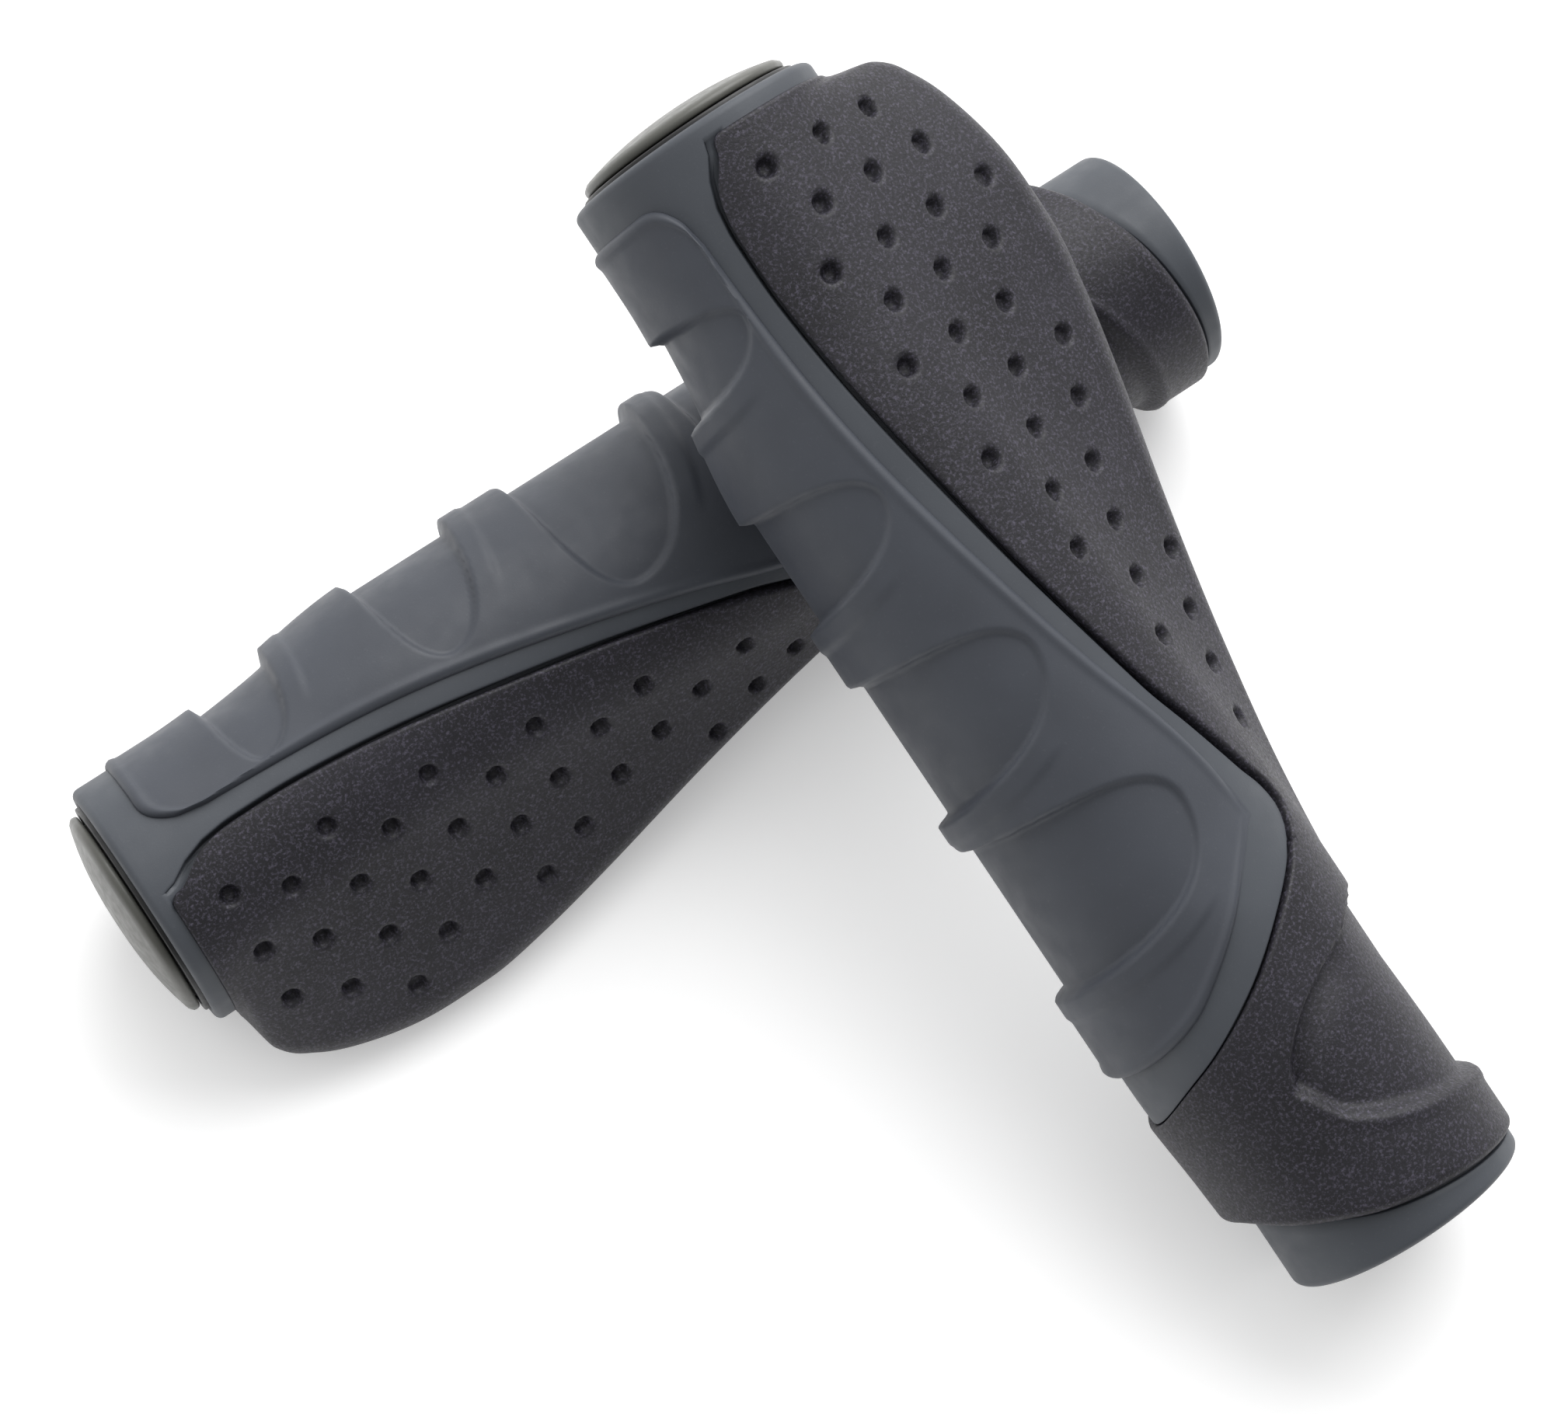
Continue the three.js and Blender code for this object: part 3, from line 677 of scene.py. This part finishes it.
def ring(at, angles, radius):
    """One ring of the body; at and radius may change round it."""
    shape = np.shape(angles)
    return polar(np.broadcast_to(at, shape), angles, np.broadcast_to(radius, shape))


def collar_rings(angles):
    """From the bore's inboard mouth round the collar's end and along it to the band."""
    rings = [ring(0, angles, RUBBER_BORE_R), ring(0, angles, COLLAR_R - 1.2)]
    for turn in ROUNDING_TURNS[::-1]:
        inset = END_ROUNDING * (1 - math.cos(turn))
        rings.append(ring(END_ROUNDING * (1 - math.sin(turn)), angles, COLLAR_R - inset))
    edge = COLLAR_EDGE(angles)
    for share in (0.25, 0.5, 0.75, 1):
        rings.append(ring(mix(END_ROUNDING, edge - 0.5, share), angles, COLLAR_R))
    for before, depth in ((0.42, 0.08), (0.36, COLLAR_GROOVE_DEPTH), (0.03, COLLAR_GROOVE_DEPTH)):
        rings.append(ring(edge - before, angles, COLLAR_R - depth))
    return rings


def rim_rings(angles):
    """From the pad's outboard end over the rim and down to the bore."""
    radius = np.minimum(full_skin(np.full_like(angles, 134.0), angles), ROUND_RADIUS(134.0))
    radius = radius - STRIP_DROP
    rings = [ring(at, angles, radius) for at in (PAD_OUTBOARD_END + 0.03, 133.3)]
    for turn in ROUNDING_TURNS:
        inset = END_ROUNDING * (1 - math.cos(turn))
        at = GRIP_LENGTH - END_ROUNDING * (1 - math.sin(turn))
        rings.append(ring(at, angles, radius - inset))
    for before_end, inner in ((0.05, 13.3), (0.3, 13.1), (0.95, 13.1), (0.95, RUBBER_BORE_R)):
        rings.append(ring(GRIP_LENGTH - before_end, angles, inner))
    return rings


def close_body(rows, first):
    """Adds the collar, the outboard rim and the bore, and closes the tube into a ring of rings."""
    last = body_angles(np.full(1, GRIP_LENGTH))[0]
    return facing_out(*ring_of_rings(np.array([*collar_rings(first), *rows, *rim_rings(last)])))


def ring_of_rings(rings):
    count, around = rings.shape[:2]
    i, j = np.meshgrid(np.arange(count), np.arange(around), indexing="ij")
    next_i, next_j = (i + 1) % count, (j + 1) % around
    quads = [i * around + j, i * around + next_j, next_i * around + next_j, next_i * around + j]
    faces = np.stack(quads, axis=-1).reshape(-1, 4).tolist()
    return rings.reshape(-1, 3), faces


# ---- turned pieces ----
def rounded(profile, radius, steps=4):
    """A closed profile with every corner off the axis rounded."""
    points = np.array(profile, float)
    made = []
    for k, corner in enumerate(points):
        before, after = points[k - 1], points[(k + 1) % len(points)]
        if corner[1] == 0:
            made.append(corner)
            continue
        sides = [before - corner, after - corner]
        spans = [np.linalg.norm(side) for side in sides]
        cut = min(radius, 0.45 * min(spans))
        start, end = (corner + side / span * cut for side, span in zip(sides, spans))
        for t in np.linspace(0, 1, steps + 1):
            made.append((1 - t) ** 2 * start + 2 * t * (1 - t) * corner + t * t * end)
    return [tuple(point) for point in made]


def turned(profile, segments=96, radius_at=None):
    """A body of revolution about the bore from a closed profile of (distance along, radius).
    radius_at(u, radius, angle) may change the radius round the piece."""
    angles = np.arange(segments) * 360 / segments
    vertices, rings = [], []
    for u, radius in profile:
        if radius == 0:
            rings.append([len(vertices)] * segments)
            vertices.append((u, 0.0, 0.0))
            continue
        radii = np.full(segments, radius)
        if radius_at:
            radii = radius_at(u, radii, angles)
        rings.append(list(range(len(vertices), len(vertices) + segments)))
        vertices += polar(np.full(segments, u), angles, radii).tolist()
    faces = []
    for ring, following in zip(rings, rings[1:] + rings[:1]):
        for j in range(segments):
            k = (j + 1) % segments
            face = [ring[j], ring[k], following[k], following[j]]
            face = list(dict.fromkeys(face))
            if len(face) > 2:
                faces.append(face)
    return facing_out(np.array(vertices), faces)


SLEEVE_BORE_R, SLEEVE_R, FLANGE_R = 11.1, 11.9, 12.9
SLEEVE_START, FLANGE_START, FLANGE_END = 0.6, 134.3, 135.5


def core_sleeve():
    profile = [
        (SLEEVE_START, SLEEVE_BORE_R), (SLEEVE_START, SLEEVE_R), (FLANGE_START, SLEEVE_R),
        (FLANGE_START, FLANGE_R), (FLANGE_END, FLANGE_R), (FLANGE_END, SLEEVE_BORE_R),
    ]
    return turned(rounded(profile, 0.25))


DOME_BASE, DOME_HEIGHT, DOME_R = 136.75, 1.6, 12.15


def plug_cap():
    """A dome with a short skirt, on a hollow stem that snaps into the collar."""
    dome = [
        (DOME_BASE + DOME_HEIGHT * (1 - (radius / DOME_R) ** 2.4), radius)
        for radius in np.linspace(11.7, 0, 22)
    ]
    skirt = [(136.4, 11.6), (135.8, 11.65), (135.7, 11.8), (135.7, 12.05), (135.85, 12.2)]
    shoulder = [(136.2, 12.25), (136.45, 12.2), (136.65, 12.0)]
    stem = [(136.9, 0), (136.9, 6.2), (132.4, 6.2), (132.4, 7.3), (136.4, 7.3)]
    return turned(stem + skirt + shoulder + dome, 128)


def plug_washer():
    return turned(rounded([(129.1, 2.8), (129.1, 4.9), (129.6, 4.9), (129.6, 2.8)], 0.15))


WEDGE_HOLE_R, WEDGE_R, WEDGE_TIP_R = 2.65, 7.4, 4.4
WEDGE_START, WEDGE_SHOULDER, WEDGE_END = 114.5, 122.1, 127.4


def plug_wedge():
    profile = [
        (WEDGE_START, WEDGE_HOLE_R), (WEDGE_START, WEDGE_R), (WEDGE_SHOULDER, WEDGE_R),
        (WEDGE_END, WEDGE_TIP_R), (WEDGE_END, WEDGE_HOLE_R),
    ]
    return turned(rounded(profile, 0.3))


THREAD_PITCH = 0.8
THREAD_DEPTH = 0.44
THREAD_START, THREAD_END = 111.2, 127.5
KNURL_START, KNURL_END = 130.1, 133.1
KNURL_DEPTH = 0.09
KNURL_COUNT = 36
HEAD_R = 4.2
SOCKET_R = 2.05


def thread(u, radii, angles):
    """A screw thread on the shank, knurling on the head, and plain surfaces elsewhere."""
    if THREAD_START < u < THREAD_END:
        turn = (u / THREAD_PITCH + angles / 360) % 1
        valley = 1 - np.abs(turn * 2 - 1)
        return radii - THREAD_DEPTH * np.clip(valley * 1.25 - 0.12, 0, 1)
    if KNURL_START < u < KNURL_END and radii[0] > SOCKET_R:
        return radii - KNURL_DEPTH * (1 + np.cos(np.radians(angles * KNURL_COUNT))) / 2
    return radii


def screw_outline(u, radii, angles):
    """The hexagon of the socket, or else the thread and knurling of the outside."""
    if radii[0] <= SOCKET_R and u > KNURL_START:
        return radii / np.cos(np.radians((angles % 60) - 30))
    return thread(u, radii, angles)


def plug_screw():
    shank = [(u, 2.5) for u in np.arange(111.6, 129.7, 0.1)]
    head = [(129.7, 2.7), (129.7, 4.1), (129.85, HEAD_R), (133.2, HEAD_R), (133.8, 3.7)]
    socket = [(133.8, SOCKET_R), (133.6, 1.99), (131.4, 1.99), (131.1, 0)]
    profile = [(111, 0), (111, 1.9), (111.3, 2.2)] + shank + head + socket
    return turned(profile, 144, screw_outline)


LEG_START, LEG_R = 122, 10.9
RING_START, RING_END, RING_R = 135.7, 136.1, 11.4


def plug_collar():
    """The ring, the socket for the cap's stem, the floor the screw bears on, and the legs."""
    profile = [
        (LEG_START, 7.9), (LEG_START, LEG_R), (129.2, LEG_R), (RING_START, LEG_R),
        (RING_START, RING_R), (RING_END, RING_R), (RING_END, 7.6), (131.6, 7.6), (131.6, 5.3),
        (129, 5.3), (129, 2.8), (127.6, 2.8), (127.6, 4.6),
    ]
    return turned(rounded(profile, 0.2, 3))


# ---- the gel insert ----
GEL_ROWS = 48
GEL_COLUMNS = 48
GEL_STEP = 4
GEL_GIRTH = 30


def gel_insert():
    along = spread(GEL_END - GEL_START, GEL_ROWS)[:, None]
    round_it = spread(GEL_GIRTH, GEL_COLUMNS)[None, :]
    u = mix(GEL_START, GEL_END, along) + 0 * round_it
    angle = mix(-GEL_HALF_ANGLE, GEL_HALF_ANGLE, round_it) + 0 * along
    top = full_skin(u, angle) - GEL_BELOW_SKIN
    top = top - edge_drop(inside_gel(u, angle), GEL_EDGE_ROUNDING)
    floor = GEL_FLOOR_R + 0 * u
    top = np.maximum(top, floor + 0.3)
    cells = np.ones((GEL_ROWS // GEL_STEP, GEL_COLUMNS // GEL_STEP), bool)
    return shell(polar(u, angle, top), polar(u, angle, floor), cells, GEL_STEP, wraps=False)


# ---- materials ----
MAP_RANGE_SOCKETS = ("From Min", "From Max", "To Min", "To Max")


class Surface:
    """A node material being put together; every length in it is in millimetres."""

    def __init__(self, name):
        self.material = bpy.data.materials.new(name)
        self.material.use_nodes = True
        self.tree = self.material.node_tree
        self.shader = self.tree.nodes["Principled BSDF"]
        self.place = self.tree.nodes.new("ShaderNodeTexCoord").outputs["Object"]
        self.height = None

    def set(self, **values):
        for name, value in values.items():
            self.shader.inputs[name.replace("_", " ")].default_value = value
        return self

    def node(self, kind, settings=None, **inputs):
        made = self.tree.nodes.new(kind)
        for name, value in (settings or {}).items():
            setattr(made, name, value)
        for name, value in inputs.items():
            socket = made.inputs[name.replace("_", " ")]
            if isinstance(value, bpy.types.NodeSocket):
                self.tree.links.new(value, socket)
            else:
                socket.default_value = value
        return made

    def noise(self, size, detail=2.0, roughness=0.5):
        """Noise with features about this many millimetres across, from 0 to 1."""
        made = self.node(
            "ShaderNodeTexNoise", Vector=self.place, Scale=1 / (size * MM),
            Detail=detail, Roughness=roughness,
        )
        return made.outputs["Fac"]

    def cells(self, size):
        made = self.node("ShaderNodeTexVoronoi", Vector=self.place, Scale=1 / (size * MM))
        return made.outputs["Distance"]

    def remap(self, value, start, end, low=0.0, high=1.0):
        made = self.node("ShaderNodeMapRange", Value=value)
        for name, number in zip(MAP_RANGE_SOCKETS, (start, end, low, high)):
            made.inputs[name].default_value = number
        return made.outputs["Result"]

    def blend(self, share, first, second):
        """Two colours, or a colour over another blend, mixed by a share."""
        made = self.node("ShaderNodeMix", {"data_type": "RGBA"})
        self.tree.links.new(share, made.inputs[0])
        for socket, value in ((made.inputs[6], first), (made.inputs[7], second)):
            if isinstance(value, bpy.types.NodeSocket):
                self.tree.links.new(value, socket)
            else:
                socket.default_value = (*value, 1)
        return made.outputs[2]

    def colour(self, value):
        self.tree.links.new(value, self.shader.inputs["Base Color"])

    def roughness(self, value):
        self.tree.links.new(value, self.shader.inputs["Roughness"])

    def bump(self, height, depth, strength=1.0):
        """Adds relief of this depth over any relief that is there already."""
        made = self.node("ShaderNodeBump", Height=height, Strength=strength, Distance=depth * MM)
        if self.height:
            self.tree.links.new(self.height, made.inputs["Normal"])
        self.height = made.outputs["Normal"]
        self.tree.links.new(self.height, self.shader.inputs["Normal"])


def smooth_rubber(name, dark, light, dust):
    """Matt moulded elastomer: soft clouding, a fine satin grain and a trace of handling dust."""
    surface = Surface(name).set(IOR=1.48, Specular_IOR_Level=0.42)
    clouds = surface.remap(surface.noise(9, 3), 0.3, 0.7)
    tone = surface.blend(clouds, dark, light)
    specks = surface.remap(surface.noise(0.35, 2), 0.62, 0.8, 0, 0.35)
    surface.colour(surface.blend(specks, tone, dust))
    surface.roughness(surface.remap(surface.noise(3, 4), 0.3, 0.7, 0.46, 0.6))
    surface.bump(surface.noise(0.22, 2), 0.012, 0.7)
    surface.bump(surface.noise(5, 2), 0.05, 0.5)
    return surface.material


def grained_rubber(name, dark, light, painted_glint):
    """The pad's spark-eroded finish: a dense fine grain, shinier in patches, with painted glints:
    the grain's peaks are coloured lighter, standing in for light catching them.
    """
    surface = Surface(name).set(IOR=1.5, Specular_IOR_Level=0.3)
    clouds = surface.remap(surface.noise(11, 3), 0.3, 0.7)
    tone = surface.blend(clouds, dark, light)
    # Painted glint: a lighter, bluer colour on the grain's peaks stands in for the sparkle of light
    # on them.
    painted_glint_peaks = surface.remap(surface.noise(0.34, 3, 0.7), 0.5, 0.72)
    surface.colour(surface.blend(painted_glint_peaks, tone, painted_glint))
    surface.roughness(surface.remap(surface.noise(0.3, 3), 0.35, 0.68, 0.6, 0.42))
    surface.bump(surface.noise(0.28, 3, 0.6), 0.045, 0.9)
    surface.bump(surface.cells(0.55), 0.03, 0.5)
    surface.bump(surface.noise(6, 2), 0.06, 0.4)
    return surface.material


def moulded_plastic(name, dark, light, rough, grain=0.4, depth=0.01):
    """Injection moulded plastic with a light satin grain and faint flow clouding."""
    surface = Surface(name).set(IOR=1.5, Specular_IOR_Level=0.5)
    clouds = surface.remap(surface.noise(7, 3), 0.3, 0.7)
    surface.colour(surface.blend(clouds, dark, light))
    surface.roughness(surface.remap(surface.noise(1.2, 4), 0.3, 0.7, rough - 0.06, rough + 0.08))
    surface.bump(surface.noise(grain, 3), depth, 0.7)
    return surface.material


def gel(name, dark, light):
    surface = Surface(name).set(IOR=1.42, Subsurface_Weight=0.3, Subsurface_Scale=0.003)
    surface.colour(surface.blend(surface.remap(surface.noise(6, 2), 0.3, 0.7), dark, light))
    surface.roughness(surface.remap(surface.noise(2, 2), 0.3, 0.7, 0.18, 0.3))
    surface.bump(surface.noise(1.5, 2), 0.04, 0.5)
    return surface.material


def machined_metal(name, dark, light, rough):
    """Turned or plated metal: fine lathe lines, and dull patches in the plating."""
    surface = Surface(name).set(Metallic=1.0)
    stains = surface.remap(surface.noise(1.6, 4), 0.4, 0.75)
    surface.colour(surface.blend(stains, light, dark))
    surface.roughness(surface.remap(surface.noise(0.8, 4), 0.3, 0.7, rough - 0.07, rough + 0.1))
    surface.bump(surface.noise(0.12, 2), 0.006, 0.7)
    return surface.material


MATERIALS = {
    "base_rubber": smooth_rubber(
        "base_rubber_look", (0.054, 0.060, 0.071), (0.062, 0.069, 0.081), (0.09, 0.095, 0.108)
    ),
    "panel_rubber": smooth_rubber(
        "panel_rubber_look", (0.048, 0.053, 0.065), (0.055, 0.061, 0.075), (0.082, 0.087, 0.1)
    ),
    # The pad's third colour is a painted glint on the grain's peaks, not a colour of the rubber
    # itself.
    "pad_rubber": grained_rubber(
        "pad_rubber_look", (0.0132, 0.0127, 0.0156), (0.0195, 0.0187, 0.0238), (0.078, 0.072, 0.1)
    ),
    "core_plastic": moulded_plastic(
        "core_plastic_look", (0.010, 0.010, 0.011), (0.016, 0.016, 0.017), 0.45
    ),
    "collar_plastic": moulded_plastic(
        "collar_plastic_look", (0.030, 0.030, 0.031), (0.042, 0.042, 0.043), 0.42
    ),
    "cap_plastic": moulded_plastic(
        "cap_plastic_look", (0.072, 0.073, 0.064), (0.088, 0.088, 0.078), 0.38
    ),
    "gel": gel("gel_look", (0.16, 0.27, 0.36), (0.24, 0.37, 0.46)),
    "wedge_brass": machined_metal("wedge_brass_look", (0.34, 0.24, 0.09), (0.62, 0.47, 0.2), 0.3),
    "washer_steel": machined_metal("washer_steel_look", (0.34, 0.34, 0.35), (0.6, 0.6, 0.62), 0.26),
    "screw_steel": machined_metal("screw_steel_look", (0.28, 0.28, 0.29), (0.52, 0.52, 0.54), 0.3),
}


# ---- setting the pieces down ----
PIECES = {
    "core_sleeve": (core_sleeve, "grip", "bar_sleeve"),
    "grip_body": (grip_body, "grip", "rubber_body"),
    "finger_panel": (finger_panel, "grip", "scalloped_panel"),
    "palm_pad": (palm_pad, "grip", "dimpled_pad"),
    "gel_insert": (gel_insert, "grip", "gel_cushion"),
    "plug_collar": (plug_collar, "plug", "expander_collar"),
    "plug_washer": (plug_washer, "plug", "screw_washer"),
    "plug_cap": (plug_cap, "cap", "domed_cap"),
    "plug_screw": (plug_screw, "screw", "socket_screw"),
    "plug_wedge": (plug_wedge, "wedge", "brass_wedge"),
}


def unit(vector):
    vector = np.array(vector, float)
    return vector / np.linalg.norm(vector)


def grip_frame(side):
    """Where one grip lies: the middle of its inboard end and its own three axes, in metres."""
    joints = {joint["name"]: joint for joint in frame["joints"]}
    mounts = {mount["name"]: mount for mount in frame["record"]["mounts"]}
    screw = joints[f"{side}_screw_turn"]
    along = unit(screw["axis"])
    centre = np.array(screw["pos_m"]) - along * SCREW_JOINT_AT * MM
    up = np.array(mounts[f"{side}_inboard_face"]["pos_m"]) - centre
    up = unit(up - along * (up @ along))
    beside = np.cross(up, along) if side == "left" else np.cross(along, up)
    dip = math.radians(WING_DIP[side])
    tip = beside * math.cos(dip) - up * math.sin(dip)
    top = beside * math.sin(dip) + up * math.cos(dip)
    return centre, np.array([along, tip, top])


def slot_of(node):
    return next(p["material_slot"] for p in frame["record"]["subparts"] if p["node"] == node)


def set_down(side, node, body, name, shape):
    """Places one modelled piece on one side, riding on its body in place of its CAD node."""
    vertices, faces = shape
    centre, axes = grip_frame(side)
    placed = centre + vertices @ axes * MM
    if np.linalg.det(axes) < 0:
        faces = [face[::-1] for face in faces]
    mesh = bpy.data.meshes.new(f"{side}_{name}")
    mesh.from_pydata(placed.tolist(), [], faces)
    mesh.shade_smooth()
    mesh.set_sharp_from_angle(angle=math.radians(75))
    piece = bpy.data.objects.new(f"{side}_{name}", mesh)
    bpy.context.scene.collection.objects.link(piece)
    slot = slot_of(f"{side}_{node}")
    mesh.materials.append(MATERIALS[slot])
    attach(piece, f"{side}_{body}")
    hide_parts(f"{side}_{node}")
    return piece


LEG_SLOT_START, LEG_SLOT_END = 119, 129
LEG_SLOT_REACH = 12
LEG_SLOT_WIDTH = 1.4


def cut_slots(piece, side):
    """Saws the collar's inner end into four legs."""
    centre, axes = grip_frame(side)
    for turn in (45, 135):
        box = slot_cutter(centre, axes, turn)
        cut = piece.modifiers.new(f"slot_{turn}", "BOOLEAN")
        cut.object = box
        cut.operation = "DIFFERENCE"
    graph = bpy.context.evaluated_depsgraph_get()
    mesh = bpy.data.meshes.new_from_object(piece.evaluated_get(graph))
    piece.modifiers.clear()
    piece.data = mesh
    for box in [o for o in bpy.data.objects if o.name.startswith("slot_cutter")]:
        bpy.data.objects.remove(box)


def slot_cutter(centre, axes, turn):
    a = math.radians(turn)
    across = axes[1] * math.cos(a) + axes[2] * math.sin(a)
    thick = -axes[1] * math.sin(a) + axes[2] * math.cos(a)
    corners = [
        centre + (axes[0] * u + across * w + thick * t) * MM
        for u in (LEG_SLOT_START, LEG_SLOT_END)
        for w in (-LEG_SLOT_REACH, LEG_SLOT_REACH)
        for t in (-LEG_SLOT_WIDTH / 2, LEG_SLOT_WIDTH / 2)
    ]
    faces = [(0, 1, 3, 2), (4, 6, 7, 5), (0, 4, 5, 1), (2, 3, 7, 6), (0, 2, 6, 4), (1, 5, 7, 3)]
    mesh = bpy.data.meshes.new("slot_cutter")
    mesh.from_pydata([tuple(c) for c in corners], [], faces)
    box = bpy.data.objects.new("slot_cutter", mesh)
    bpy.context.scene.collection.objects.link(box)
    return box


for cad_node, (build, rides_on, piece_name) in PIECES.items():
    built = build()
    for grip_side in ("left", "right"):
        made_piece = set_down(grip_side, cad_node, rides_on, piece_name, built)
        if cad_node == "plug_collar":
            cut_slots(made_piece, grip_side)


# ---- floor, light and camera ----
FLOOR_HALF = 3.0
FLOOR_TILES = 8
FLOOR_BELOW = 0.02
FLOOR_GLOW = 0.3
CAMERA_TARGET = Vector((0.00377, 0.01854, 0.015))
CAMERA_DISTANCE = 0.4225
CAMERA_AZIMUTH = -34.89
CAMERA_ELEVATION = 70.29
CAMERA_LENS = 88.54
KEY_AZIMUTH = 128.0
KEY_ELEVATION = 46.0
KEY_DISTANCE = 1.1
KEY_SIZE = 1.1
KEY_POWER = 14.0
ROOM_AZIMUTH = 172.0
ROOM_ELEVATION = 25.0
ROOM_FADE = (-0.7, 0.9)
ROOM_STRENGTH = (0.26, 1.04)


def direction(azimuth, elevation):
    """From the middle towards a viewer; azimuth 0 stands on the -Y side and 90 on the +X side."""
    a, e = math.radians(azimuth), math.radians(elevation)
    return Vector((math.sin(a) * math.cos(e), -math.cos(a) * math.cos(e), math.sin(e)))


def make_floor():
    steps = np.linspace(-FLOOR_HALF, FLOOR_HALF, FLOOR_TILES + 1)
    vertices = [(x, y, -FLOOR_BELOW * MM) for y in steps for x in steps]
    row = len(steps)
    starts = [row * j + i for j in range(FLOOR_TILES) for i in range(FLOOR_TILES)]
    faces = [(k, k + 1, k + row + 1, k + row) for k in starts]
    mesh = bpy.data.meshes.new("floor")
    mesh.from_pydata(vertices, [], faces)
    floor = bpy.data.objects.new("floor", mesh)
    bpy.context.scene.collection.objects.link(floor)
    paper = Surface("floor_paper").set(Roughness=0.9, Specular_IOR_Level=0.1)
    tone = paper.blend(paper.noise(60, 2), (0.86, 0.86, 0.86), (0.88, 0.88, 0.88))
    paper.colour(tone)
    paper.set(Emission_Color=(1, 1, 1, 1), Emission_Strength=FLOOR_GLOW)
    mesh.materials.append(paper.material)


def make_key_light():
    towards = direction(KEY_AZIMUTH, KEY_ELEVATION)
    data = bpy.data.lights.new("key", "AREA")
    data.size = KEY_SIZE
    data.energy = KEY_POWER
    lamp = bpy.data.objects.new("key", data)
    lamp.location = towards * KEY_DISTANCE
    lamp.rotation_euler = towards.to_track_quat("Z", "Y").to_euler()
    bpy.context.scene.collection.objects.link(lamp)


def make_world():
    """A white room, bright on the far side and dim on the camera's side."""
    world = bpy.data.worlds.new("studio")
    world.use_nodes = True
    tree = world.node_tree
    towards = tree.nodes.new("ShaderNodeTexCoord").outputs["Generated"]
    facing = tree.nodes.new("ShaderNodeVectorMath")
    facing.operation = "DOT_PRODUCT"
    facing.inputs[1].default_value = direction(ROOM_AZIMUTH, ROOM_ELEVATION)
    tree.links.new(towards, facing.inputs[0])
    ramp = tree.nodes.new("ShaderNodeMapRange")
    ramp.interpolation_type = "SMOOTHSTEP"
    for name, number in zip(MAP_RANGE_SOCKETS, (*ROOM_FADE, *ROOM_STRENGTH)):
        ramp.inputs[name].default_value = number
    tree.links.new(facing.outputs["Value"], ramp.inputs["Value"])
    background = tree.nodes["Background"]
    background.inputs["Color"].default_value = (1, 1, 1, 1)
    tree.links.new(ramp.outputs["Result"], background.inputs["Strength"])
    bpy.context.scene.world = world


def make_camera():
    data = bpy.data.cameras.new("camera")
    data.lens = CAMERA_LENS
    data.sensor_width = 36
    data.clip_start, data.clip_end = 0.01, 20
    camera = bpy.data.objects.new("camera", data)
    back = direction(CAMERA_AZIMUTH, CAMERA_ELEVATION)
    camera.location = CAMERA_TARGET + back * CAMERA_DISTANCE
    camera.rotation_euler = (-back).to_track_quat("-Z", "Y").to_euler()
    bpy.context.scene.collection.objects.link(camera)
    bpy.context.scene.camera = camera


make_floor()
make_key_light()
make_world()
make_camera()
bpy.context.scene.view_settings.view_transform = "Standard"
